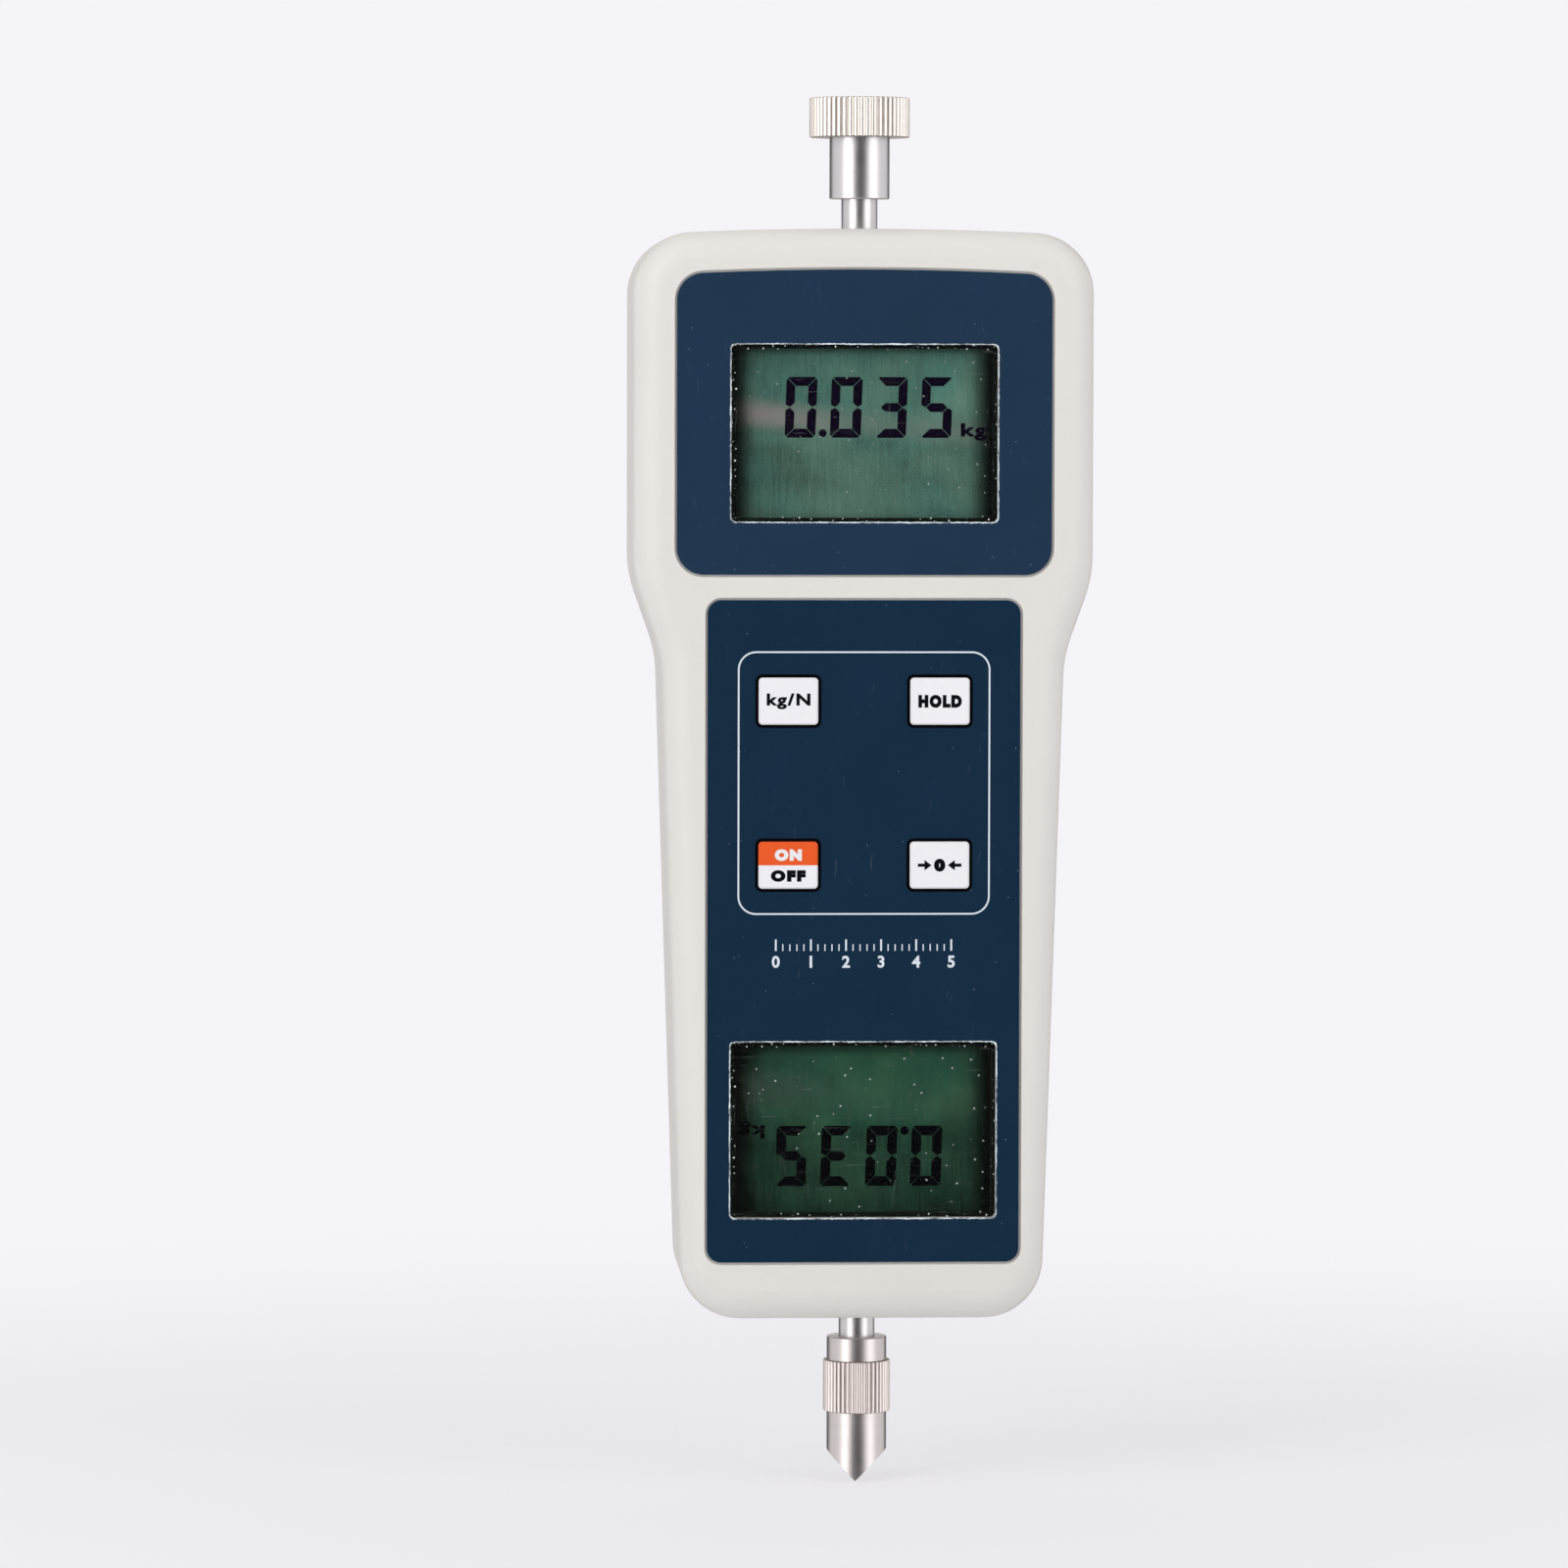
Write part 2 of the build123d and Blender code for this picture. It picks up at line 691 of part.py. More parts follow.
# Load cell, chassis and their fasteners
def load_cell():
    beam = slab(Rectangle(beam_length, beam_height), beam_back, beam_front)
    for side in (-1, 1):
        for x in (flexure_inner_x, flexure_outer_x):
            beam -= post(side * x, 0, 2 * flexure_radius, beam_back - 1, beam_front + 1)
        slot = Pos(side * (flexure_inner_x + flexure_outer_x) / 2, 0) * Rectangle(
            flexure_outer_x - flexure_inner_x, flexure_slot)
        beam -= slab(slot, beam_back - 1, beam_front + 1)
    beam -= on_axis(spindle_diameter + 2 * beam_hole_gap, -beam_height, beam_height)
    for x, z in beam_bolts:
        beam -= post(x, z, beam_bolt_diameter + 2 * bolt_hole_gap, beam_back - 1, beam_front)
        beam -= post(x, z, beam_bolt_head + 2 * bolt_hole_gap, beam_front - beam_bolt_head_height, beam_front + 1)
    return beam


def beam_screws():
    screws = []
    seat = beam_front - beam_bolt_head_height
    for x, z in beam_bolts:
        socket = post(x, z, beam_bolt_head / 2, beam_front - beam_bolt_head_height / 2, beam_front + 1)
        screw = post(x, z, beam_bolt_diameter, seat - beam_bolt_length, seat)
        screws.append(screw + post(x, z, beam_bolt_head, seat, beam_front) - socket)
    return joined(screws)


def strain_gauges():
    """Foil gauges on the thin webs, above and below the flexure holes."""
    gauges = []
    for side in (-1, 1):
        for x in (flexure_inner_x, flexure_outer_x):
            for z in (beam_height / 2, -beam_height / 2 - gauge_thickness):
                foil = Box(gauge_width, gauge_length, gauge_thickness, align=(Align.CENTER, Align.CENTER, Align.MIN))
                gauges.append(Pos(side * x, -axis_depth, z) * foil)
    return joined(gauges)


def chassis():
    plate = slab(rounded(chassis_width, chassis_height, chassis_corner), wall, chassis_front)
    for side in (-1, 1):
        pad = Pos(side * beam_bolt_x, 0) * Rectangle(beam_end_block, beam_height)
        plate += slab(pad, chassis_front - 1, beam_back)
    for x, z in stand_holes:
        plate += post(x, z, stand_boss_diameter, 0, wall)
    for x, z in stand_holes:
        plate -= post(x, z, stand_thread_core, -1, chassis_front + 1)
    for x, z in beam_bolts:
        reach = beam_front - beam_bolt_head_height - beam_bolt_length - bolt_hole_gap
        plate -= post(x, z, beam_bolt_diameter + 2 * bolt_hole_gap, reach, beam_back + 1)
    for x, z in chassis_screws:
        plate -= post(x, z, chassis_screw_diameter + 2 * bolt_hole_gap, 0, chassis_front + 1)
    return plate


def chassis_screw(x, z, gap=0.0):
    """Countersunk screw from the back, or its hole with a gap."""
    radius = chassis_screw_diameter / 2 + gap
    head = chassis_screw_head / 2 + gap
    profile = make_face(Polyline((0, 0), (head, 0), (radius, head - radius), (radius, chassis_screw_length),
                                 (0, chassis_screw_length), close=True))
    screw = revolve(profile, Axis.Y)
    return Pos(x, 0, z) * Rot(180, 0, 0) * screw


def chassis_screw_set():
    recess = chassis_screw_diameter / 2
    return joined(chassis_screw(x, z) - post(x, z, recess, -1, 1) for x, z in chassis_screws)


def case_screw_set():
    screws = []
    for x, z in case_screws:
        screw = post(x, z, case_screw_diameter, case_screw_sunk, case_screw_sunk + case_screw_length)
        screw += post(x, z, case_screw_head, case_screw_sunk - case_screw_head_height, case_screw_sunk)
        cross = Pos(x, z) * (Rectangle(case_screw_diameter, 0.8) + Rectangle(0.8, case_screw_diameter))
        screws.append(screw - slab(cross, 0, case_screw_sunk - case_screw_head_height / 2))
    return joined(screws)


# Spindle and what turns or slides with it
def spindle():
    bar = on_axis(spindle_diameter, spindle_bottom, spindle_top)
    return chamfer(bar.faces().sort_by(Axis.Z)[0].edges() + bar.faces().sort_by(Axis.Z)[-1].edges(), 2 * small_edge)


def spindle_nuts():
    start = beam_height / 2 + spindle_travel + nut_play
    nuts = []
    for low in (start, -start - nut_height):
        hexagon = extrude(Plane.XY.offset(low) * RegularPolygon(nut_width / 2, 6, major_radius=False), amount=nut_height)
        nut = Pos(0, -axis_depth, 0) * Rot(0, 0, 30) * hexagon
        nuts.append(nut - on_axis(spindle_diameter + 2 * bolt_hole_gap, low, low + nut_height))
    return joined(nuts)


def bush(end, sign):
    """Plain bush between the end wall and the far side of its seat."""
    far = end + sign * bush_length
    near = end + sign * bush_gap
    flange = far - sign * bush_flange_thickness
    body = on_axis(bush_diameter, *sorted((near, far))) + on_axis(bush_flange_diameter, *sorted((flange, far)))
    return body - on_axis(spindle_diameter + 2 * running_gap, *sorted((near - sign, far + sign)))


def knurled(diameter, ridge_count, low, high, edge):
    """Straight-knurled collar whose rims are turned down to the knurl's root."""
    outer, root = diameter / 2, diameter / 2 - ridge_depth
    step = math.pi / ridge_count
    points = [((outer, root)[i % 2] * math.cos(i * step), (outer, root)[i % 2] * math.sin(i * step))
              for i in range(2 * ridge_count)]
    band = extrude(Plane.XY.offset(low + edge) * make_face(Polyline(*points, close=True)), amount=high - low - 2 * edge)
    core = Pos(0, 0, low) * Cylinder(root * math.cos(step), high - low, align=(Align.CENTER, Align.CENTER, Align.MIN))
    core = chamfer(core.edges().filter_by(GeomType.CIRCLE), edge - ridge_depth / 2)
    return Pos(0, -axis_depth, 0) * (core + band)


def flat_head():
    collar = on_axis(head_collar_diameter, head_bottom, disc_bottom + 1)
    collar = chamfer(collar.faces().sort_by(Axis.Z)[0].edges(), small_edge)
    head = collar + knurled(disc_diameter, disc_ridge_count, disc_bottom, disc_bottom + disc_thickness, disc_edge)
    return head - on_axis(spindle_diameter + 2 * running_gap, head_bottom, spindle_top + thread_end_room)


def chisel_tip():
    collar = on_axis(tip_collar_diameter, knurl_top - 1, tip_top)
    collar = chamfer(collar.faces().sort_by(Axis.Z)[-1].edges(), small_edge)
    half = tip_collar_diameter / 2
    wedge = make_face(Polyline((0, tip_end), (half, shank_bottom), (half, shank_top + 1),
                               (-half, shank_top + 1), (-half, shank_bottom), close=True))
    blade = extrude(Plane.XZ.offset(-half) * wedge, amount=2 * half)
    blade = Pos(0, -axis_depth, 0) * Rot(0, 0, tip_edge_turn) * blade
    blade = blade & on_axis(tip_collar_diameter, tip_end - 1, shank_top + 2)
    tip = collar + knurled(tip_knurl_diameter, tip_ridge_count, shank_top, knurl_top, tip_knurl_edge) + blade
    return tip - on_axis(spindle_diameter + 2 * running_gap, spindle_bottom - thread_end_room, tip_top)


def make_parts():
    body, cavity = case_body()
    seats, bores = bush_seats(), bush_bores()
    parts = {
        "front_case": front_case(body, seats, bores, cavity),
        "rear_case": rear_case(body, seats, bores, cavity),
        "battery_door": battery_door(),
        "battery_cells": battery_cells(),
        "battery_contacts": battery_contacts(),
        "battery_leaves": battery_leaves(),
        "upper_label": head_label(),
        "lower_label": grip_label(),
        "main_board": board(main_board_width, main_board_bottom, main_board_top),
        "display_board": board(display_board_width, display_board_bottom, display_board_top),
        "board_screws": board_screws(),
        "board_chips": board_chips(),
        "ribbon_cable": ribbon_cable(),
        "data_socket": data_socket(),
        "key_switches": key_switches(),
        "load_cell": load_cell(),
        "load_cell_bolts": beam_screws(),
        "strain_gauges": strain_gauges(),
        "chassis": chassis(),
        "chassis_screws": chassis_screw_set(),
        "case_screws": case_screw_set(),
        "spindle": spindle(),
        "spindle_nuts": spindle_nuts(),
        "upper_bush": bush(top_z - wall, -1),
        "lower_bush": bush(bottom_z + wall, 1),
        "flat_head": flat_head(),
        "chisel_tip": chisel_tip(),
    }
    for name, z in (("upper", head_window_z), ("lower", grip_window_z)):
        parts[name + "_lens"] = lens(z)
        parts[name + "_display_frame"] = display_frame(z)
        parts[name + "_display_glass"] = display_glass(z)
        parts[name + "_contact_strips"] = contact_strips(z)
    for name, place in key_places.items():
        parts["key_" + name] = key_cap(place)
        parts["plunger_" + name] = switch_plunger(place)
    return parts


def main():
    os.makedirs("parts", exist_ok=True)
    for name, part in make_parts().items():
        export_step(part, os.path.join("parts", name + ".step"))


if __name__ == "__main__":
    main()
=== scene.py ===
"""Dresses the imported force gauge: moulded case, printed labels, displays, turned metal and the stage."""

import math
import random

import bmesh
import bpy
from bpy.props import FloatProperty, FloatVectorProperty, IntProperty, PointerProperty, StringProperty
from mathutils import Matrix, Vector


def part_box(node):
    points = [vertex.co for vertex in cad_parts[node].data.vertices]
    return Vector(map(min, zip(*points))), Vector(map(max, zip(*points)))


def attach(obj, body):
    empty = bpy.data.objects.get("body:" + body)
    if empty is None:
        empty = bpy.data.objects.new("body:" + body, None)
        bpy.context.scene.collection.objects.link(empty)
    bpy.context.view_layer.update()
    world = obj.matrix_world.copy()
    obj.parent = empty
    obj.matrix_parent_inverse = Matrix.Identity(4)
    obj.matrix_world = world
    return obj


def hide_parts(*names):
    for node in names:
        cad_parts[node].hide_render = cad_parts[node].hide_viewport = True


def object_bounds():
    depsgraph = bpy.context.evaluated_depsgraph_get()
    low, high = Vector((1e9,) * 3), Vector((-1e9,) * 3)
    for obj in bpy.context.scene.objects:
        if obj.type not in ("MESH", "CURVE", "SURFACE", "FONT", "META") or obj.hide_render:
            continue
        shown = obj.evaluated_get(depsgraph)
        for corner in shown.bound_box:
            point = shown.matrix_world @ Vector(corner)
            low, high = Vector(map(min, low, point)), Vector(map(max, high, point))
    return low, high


bl_info = {
    "name": "Force gauge finish",
    "version": (1, 0, 0),
    "blender": (4, 5, 0),
    "location": "View3D > Sidebar > Force gauge",
    "description": "Surfaces, print and stage for a hand-held digital force gauge",
    "category": "Object",
}

MM = 0.001
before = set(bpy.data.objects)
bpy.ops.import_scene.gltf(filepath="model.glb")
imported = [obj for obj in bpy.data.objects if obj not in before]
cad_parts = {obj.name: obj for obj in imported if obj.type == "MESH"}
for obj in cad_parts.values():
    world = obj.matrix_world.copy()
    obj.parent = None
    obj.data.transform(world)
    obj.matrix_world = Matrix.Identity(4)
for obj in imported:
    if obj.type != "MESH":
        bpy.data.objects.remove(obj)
cad_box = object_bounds()


def linear(code):
    """Scene colour of a #RRGGBB code."""
    parts = [int(code[i:i + 2], 16) / 255 for i in (1, 3, 5)]
    return tuple(p / 12.92 if p <= 0.04045 else ((p + 0.055) / 1.055) ** 2.4 for p in parts)


def middle(node):
    low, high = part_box(node)
    return (low + high) / 2


AXIS_Y = middle("spindle").y
LABEL_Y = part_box("lower_label")[0].y
KEY_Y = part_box("key_unit")[0].y
LENS_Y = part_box("upper_lens")[0].y
GLASS_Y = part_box("upper_display_glass")[0].y

# Display opening, in millimetres from the middle of its window
OPENING_LEFT, OPENING_RIGHT, OPENING_HALF_HEIGHT = 21.4, 21.2, 14.2
# Where the window's dusty edge begins
DUST_X, DUST_Z = 20.0, 12.6
# One ridge of a knurl: sides of its round form, share left at its tapered ends, share of the pitch filled
RIDGE_SIDES, RIDGE_END, RIDGE_SHARE = 10, 0.25, 0.93
# Small bevel on turned edges, in millimetres
TURNED_EDGE = 0.15
# Cut edge of the film round a window, in millimetres: clear of the window, corner radius, spacing of its
# points, fray along it, reach outwards and inwards and how much they vary
FILM_CLEAR, FILM_CORNER, FILM_STEP, FILM_FRAY = 0.3, 0.9, 0.35, 0.03
FILM_OUT, FILM_IN, FILM_VARY = 0.16, -0.04, 0.05
# Chips of that film, in millimetres: inset of their line across and in height, scatter and largest radius
CHIP_INSET_X, CHIP_INSET_Z, CHIP_SCATTER, CHIP_SIZE = 0.9, 0.7, 0.45, 0.19
# Near-black seal round a key, which also stands as painted shade of the gap round the cap, in millimetres:
# outer and inner corner radius, gap to the cap and depth
SEAL_SHADE_OUTER, SEAL_SHADE_INNER, SEAL_SHADE_GAP, SEAL_SHADE_DEPTH = 1.15, 0.66, 0.04, 0.6
# Arrow on the zero key, in millimetres: tip and neck from the middle, half widths of its head and shaft
ARROW_TIP, ARROW_NECK, ARROW_HEAD, ARROW_SHAFT = 1.35, 2.5, 0.85, 0.26
# Heights of the two words on the power key above its middle, in millimetres
ON_RISE, OFF_RISE = 1.7, -1.75
# Floor: radius in metres, drop below the gauge in millimetres, own light under the gauge, and the distances
# in metres between which that rises to full
FLOOR_RADIUS, FLOOR_DROP, FLOOR_GLOW, FLOOR_NEAR, FLOOR_FAR = 9, 0.2, 0.62, 0.05, 0.40
# What differs between the displays: light up and across the window in (position, level) stops, turn of the
# streaks, widths of the frame's shadow at the left, right, top and bottom in millimetres, and the reflected
# band's height, reach and strength
DISPLAYS = {
    "upper": {
        "tones": ((0.0, 1.02), (0.12, 1.06), (0.24, 0.84), (0.40, 0.90), (0.50, 1.04), (0.62, 1.08),
                  (0.86, 1.14), (1.0, 1.02)),
        "across": ((0.0, 0.74), (0.14, 0.80), (0.35, 1.0), (0.60, 1.0), (0.90, 1.08), (1.0, 1.0)),
        "streak_turn": 0.06, "shadows": (4.0, 4.6, 1.6, 0.6), "mirrored": (3.4, 3.4, 0.9)},
    "lower": {
        "tones": ((0.0, 0.46), (0.16, 0.57), (0.45, 0.72), (0.60, 1.10), (0.88, 1.28), (1.0, 0.90)),
        "across": ((0.0, 0.30), (0.07, 0.42), (0.16, 0.72), (0.35, 0.98), (0.60, 1.05), (0.90, 0.86),
                   (1.0, 0.80)),
        "streak_turn": 1.25, "shadows": (4.6, 4.4, 2.4, 0.8), "mirrored": (7.0, 5.0, 0.10)}}
WINDOW_DUST = {"upper": 0.45, "lower": 0.8}
# Cards that only reflections see: name, place and half width in metres, shade
CARDS = (("dark_card", (0.05, -1.8, 0), 0.72, 0.03), ("left_flag", (-1.15, 1.6, 0), 0.75, 0.10),
         ("right_flag", (1.15, 1.6, 0), 0.75, 0.10))
# Soft lamps: name, place in metres, watts, width and height in metres
LAMPS = (("Key light", (-1.0, -0.95, 0.45), 10.9, 0.8, 1.9),
         ("Fill light", (1.05, -0.85, 0.40), 6.8, 0.8, 1.9), ("Top light", (0.0, 0.1, 1.4), 0.6, 1.0, 1.0))


# Sizes and colours that a user would change
def length(name, description, default):
    return FloatProperty(name=name, description=description, default=default * MM, unit="LENGTH",
                         precision=5)


def angle(name, description, degrees, **limits):
    return FloatProperty(name=name, description=description, default=math.radians(degrees),
                         subtype="ANGLE", **limits)


def amount(name, description, default, **limits):
    return FloatProperty(name=name, description=description, default=default, min=0, **limits)


def whole(name, description, default, least=0, **limits):
    return IntProperty(name=name, description=description, default=default, min=least, **limits)


def colour(name, description, code):
    return FloatVectorProperty(name=name, description=description, default=linear(code), size=3,
                               subtype="COLOR", min=0, max=1)


class CaseLook(bpy.types.PropertyGroup):
    plastic: colour("Housing plastic", "Colour of the moulded case", "#E8E5DF")
    upper_film: colour("Upper label", "Colour of the upper label film", "#1D354D")
    lower_film: colour("Lower label", "Colour of the lower label film", "#0F2B42")
    keys: colour("Keys", "Colour of the key caps", "#F5F5F9")
    accent: colour("Power key accent", "Colour of the upper half of the power key", "#F45A12")
    print_ink: colour("Print", "Colour of the print on the label films", "#DFE8F1")
    grain: length("Grain", "Size of the moulded grain on the case", 0.24)


class PrintLook(bpy.types.PropertyGroup):
    ink: length("Ink", "Thickness of the raised print", 0.02)
    line: length("Line width", "Width of the line round the keys", 0.28)
    border_width: length("Border width", "Width of the line round the keys, across", 41.4)
    border_height: length("Border height", "Height of the line round the keys", 43.2)
    border_radius: length("Border corners", "Corner radius of the line round the keys", 2.9)
    key_width: length("Key width", "Width of a key cap", 9.8)
    key_height: length("Key height", "Height of a key cap", 7.75)
    key_outline: length("Key outline", "Width of the black outline round a key", 0.54)
    legend: length("Legend height", "Height of the capitals on the keys", 2.15)
    legend_width: length("Legend width", "Width of a legend on a key", 7.2)
    legend_weight: amount("Legend weight", "Extra thickness of the letters' strokes", 0.09, max=0.1)
    scale_width: length("Scale width", "Width of the printed scale", 29.0)
    scale_drop: length("Scale drop", "Distance of the scale below the line round the keys", 5.1)
    scale_steps: whole("Scale steps", "Number of divisions on the printed scale", 25, 5, max=100)
    long_every: whole("Long tick every", "Divisions between long ticks", 5, 2)
    short_tick: length("Short tick", "Length of a short tick", 1.1)
    long_tick: length("Long tick", "Length of a long tick", 1.9)
    tick: length("Tick width", "Width of a tick", 0.24)
    number: length("Number height", "Height of the scale's numbers", 2.0)
    tick_drop: length("Tick drop", "Distance of the ticks' feet below the scale's place", 1.0)
    number_drop: length("Number drop", "Distance of the numbers' middle below the scale's place", 2.8)


class DisplayLook(bpy.types.PropertyGroup):
    reading: StringProperty(name="Reading", description="Digits shown, with one decimal point",
                            default="0.035")
    digit_width: length("Digit width", "Width of one digit", 5.1)
    digit_height: length("Digit height", "Height of one digit", 10.0)
    digit_pitch: length("Digit pitch", "Distance between digits", 7.47)
    stroke: length("Stroke", "Width of a digit's segments", 1.47)
    lower_stroke: length("Lower stroke", "Width of a segment of the lower display", 1.62)
    gap: length("Segment gap", "Gap between a digit's segments", 0.07)
    slant: angle("Slant", "Lean of the digits", 2.0, min=0, max=0.4)
    first_x: length("First digit", "Left side of the first digit from the window's middle", -13.05)
    base_z: length("Base line", "Base line of the digits from the window's middle", -0.75)
    lower_first_x: length("Lower first digit", "Outer side of the turned display's first digit", -13.44)
    lower_base_z: length("Lower base line", "Base line of the turned display's digits", -0.39)
    upper: colour("Upper display", "Middle colour of the upper display", "#4D7064")
    lower: colour("Lower display", "Middle colour of the lower display", "#284C39")
    glare: colour("Reflected band", "Colour of the band reflected in a display", "#857F7A")
    ink: colour("Segments", "Colour of the dark segments", "#0A0216")
    lower_ink: colour("Lower segments", "Colour of the segments of the lower display", "#020204")
    unit_x: length("Unit mark", "Distance of the unit mark from the window's middle", 18.3)
    unit_z: length("Unit mark height", "Height of the unit mark's middle above the window's middle", 0.25)
    unit_tall: length("Unit letters", "Height of the unit mark", 2.9)
    unit_wide: length("Unit width", "Width of the unit mark", 4.4)
    flecks: whole("Flecks", "Chips of the cut film round one window", 120)
    seed: whole("Seed", "Seed of the flecks", 7)


class MetalLook(bpy.types.PropertyGroup):
    steel: colour("Turned steel", "Colour of the turned stainless steel", "#D3D1D0")
    # The warm tint of the tip and knurl colours is painted warm reflection on top of the steel's own colour
    tip: colour("Tip steel", "Colour of the brushed steel of the tip", "#D0CAC6")
    head_knurl_steel: colour("Knurled head", "Colour of the knurled head, slightly warm", "#F5EDE3")
    tip_knurl_steel: colour("Knurled tip", "Colour of the knurled band on the tip", "#E6DCD6")
    disc_ridges: whole("Head ridges", "Ridges round the flat head", 52, 12)
    tip_ridges: whole("Tip ridges", "Ridges round the chisel tip", 40, 12)
    ridge_depth: length("Ridge depth", "Depth of the knurl", 0.3)
    rim: length("Rim", "Height of the taper at a ridge's ends", 0.16)
    collar: length("Collar", "Diameter of the collars and of the tip's shank", 10.0)
    bore: length("Bore", "Diameter of the bores that take the spindle's ends", 6.1)
    disc_height: length("Head height", "Height of the flat head's disc", 6.6)
    head_bore: length("Head bore", "Depth of the flat head's bore", 8.5)
    tip_collar: length("Tip collar", "Height of the chisel tip's collar", 3.9)
    tip_knurl: length("Tip knurl", "Height of the chisel tip's knurled band", 8.7)
    edge_turn: angle("Edge turn", "Turn of the chisel edge round the axis", -5.5)


class StageLook(bpy.types.PropertyGroup):
    backdrop: colour("Backdrop", "Colour of the floor and backdrop", "#F5F4F8")
    ambient: amount("Ambient light", "Strength of the even light", 0.5)
    lens: amount("Focal length", "Camera focal length in millimetres", 180.4)
    distance: length("Camera distance", "Distance from the camera to the measuring axis", 1310.0)
    around: angle("Camera azimuth", "Camera's turn round the gauge", -3.5)
    height: length("Camera height", "Height of the camera above the stand pattern", 53.1)
    aside: length("Camera offset", "Distance of the camera to the right, before its turn", -0.35)
    yaw: angle("Yaw", "Camera's turn to the right", 2.976)
    pitch: angle("Pitch", "Camera's tilt up", -2.84)
    roll: angle("Roll", "Camera's roll", 0.12)


# Materials
class Wire:
    """An output in a node tree that takes part in sums as a number does."""

    def __init__(self, shading, socket):
        self.shading = shading
        self.socket = socket

    def maths(self, operation, *terms):
        return self.shading.node("ShaderNodeMath", {"operation": operation}, dict(enumerate(terms)))

    def __add__(self, other):
        return self.maths("ADD", self, other)

    __radd__ = __add__

    def __sub__(self, other):
        return self.maths("SUBTRACT", self, other)

    def __rsub__(self, other):
        return self.maths("SUBTRACT", other, self)

    def __mul__(self, other):
        return self.maths("MULTIPLY", self, other)

    __rmul__ = __mul__

    def __truediv__(self, other):
        return self.maths("DIVIDE", self, other)

    def __abs__(self):
        return self.maths("ABSOLUTE", self)

    def power(self, exponent):
        return self.maths("POWER", self, exponent)

    def larger(self, other):
        return self.maths("MAXIMUM", self, other)

    def root(self):
        return self.maths("SQRT", self)

    def ease(self, low, high):
        """0 below low, 1 above high, smooth between."""
        return self.shading.node("ShaderNodeMapRange", {"interpolation_type": "SMOOTHSTEP"},
                                 {"Value": self, "From Min": low, "From Max": high})

    def fade(self, low, high):
        """1 below low, 0 above high, smooth between."""
        return 1 - self.ease(low, high)


class Shading:
    """A node tree being built, and short ways to add to it."""

    def __init__(self, tree):
        self.tree = tree

    def node(self, kind, settings=None, sockets=None, output=0):
        made = self.tree.nodes.new(kind)
        for name, value in (settings or {}).items():
            if name == "stops":
                self.stops(made.color_ramp, value)
            else:
                setattr(made, name, value)
        for name, value in (sockets or {}).items():
            self.feed(made.inputs[name], value)
        return Wire(self, made.outputs[output])

    def stops(self, ramp, stops):
        while len(ramp.elements) < len(stops):
            ramp.elements.new(1)
        for element, (position, value) in zip(ramp.elements, stops):
            element.position = position
            element.color = (*value, 1)

    def feed(self, socket, value):
        if isinstance(value, Wire):
            self.tree.links.new(value.socket, socket)
        elif socket.type == "RGBA" and len(value) == 3:
            socket.default_value = (*value, 1)
        else:
            socket.default_value = value

    def place(self):
        """Position in the row frame, in millimetres."""
        spot = self.node("ShaderNodeTexCoord", output="Object")
        return self.node("ShaderNodeVectorMath", {"operation": "SCALE"}, {"Vector": spot, "Scale": 1 / MM})

    def shifted(self, place, offset, stretch=(1, 1, 1), turn=(0, 0, 0)):
        """Place measured from a point in millimetres, turned and then stretched."""
        moved = self.node("ShaderNodeVectorMath", {"operation": "SUBTRACT"}, {0: place, 1: offset})
        return self.node("ShaderNodeMapping", {"vector_type": "POINT"},
                         {"Vector": moved, "Scale": stretch, "Rotation": turn})

    def split(self, vector):
        parts = self.node("ShaderNodeSeparateXYZ", None, {"Vector": vector}).socket.node
        return [Wire(self, parts.outputs[i]) for i in range(3)]

    def joined(self, x, y, z):
        return self.node("ShaderNodeCombineXYZ", None, {"X": x, "Y": y, "Z": z})

    def noise(self, place, size, detail=3.0, rough=0.5):
        """Cloudy value from 0 to 1 whose lumps are about size millimetres."""
        return self.node("ShaderNodeTexNoise", None,
                         {"Vector": place, "Scale": 1 / size, "Detail": detail, "Roughness": rough})

    def cells(self, place, size):
        """Distance to the nearest of many scattered points, as a share of their spacing."""
        return self.node("ShaderNodeTexVoronoi", {"feature": "F1"}, {"Vector": place, "Scale": 1 / size},
                         "Distance")

    def ramp(self, value, *stops):
        return self.node("ShaderNodeValToRGB", {"stops": stops}, {"Fac": value})

    def curve(self, value, *stops):
        """Number read from (position, number) stops, with straight lines between them."""
        shades = [(position, (number / 2,) * 3) for position, number in stops]
        return self.ramp(value, *shades) * 2

    def mix(self, share, first, second):
        """Colour between two colours."""
        made = self.node("ShaderNodeMix", {"data_type": "RGBA"}).socket.node
        self.feed(made.inputs[0], share)
        self.feed(made.inputs[6], first)
        self.feed(made.inputs[7], second)
        return Wire(self, made.outputs[2])

    def tint(self, shade, value):
        """A colour made lighter or darker by a varying value, or channel by channel by three numbers."""
        if isinstance(value, tuple):
            return self.node("ShaderNodeVectorMath", {"operation": "MULTIPLY"}, {0: shade, 1: value})
        return self.node("ShaderNodeVectorMath", {"operation": "SCALE"}, {"Vector": shade, "Scale": value})


class Finish(Shading):
    """A material being built round its Principled shader."""

    def __init__(self, name, **constants):
        self.material = bpy.data.materials.new(name)
        self.material.use_nodes = True
        super().__init__(self.material.node_tree)
        self.shader = self.tree.nodes["Principled BSDF"]
        for socket, value in constants.items():
            self.set(socket.replace("_", " "), value)

    def set(self, socket, value):
        self.feed(self.shader.inputs[socket], value)

    def coat(self, shade, rough, height=None, depth=0.0, strength=1.0):
        """The material with its colour, roughness and bumps, whose full height is depth in millimetres."""
        self.set("Base Color", shade)
        self.set("Roughness", rough)
        if height is not None:
            self.set("Normal", self.node("ShaderNodeBump", None,
                                         {"Height": height, "Distance": depth * MM, "Strength": strength}))
        return self.material


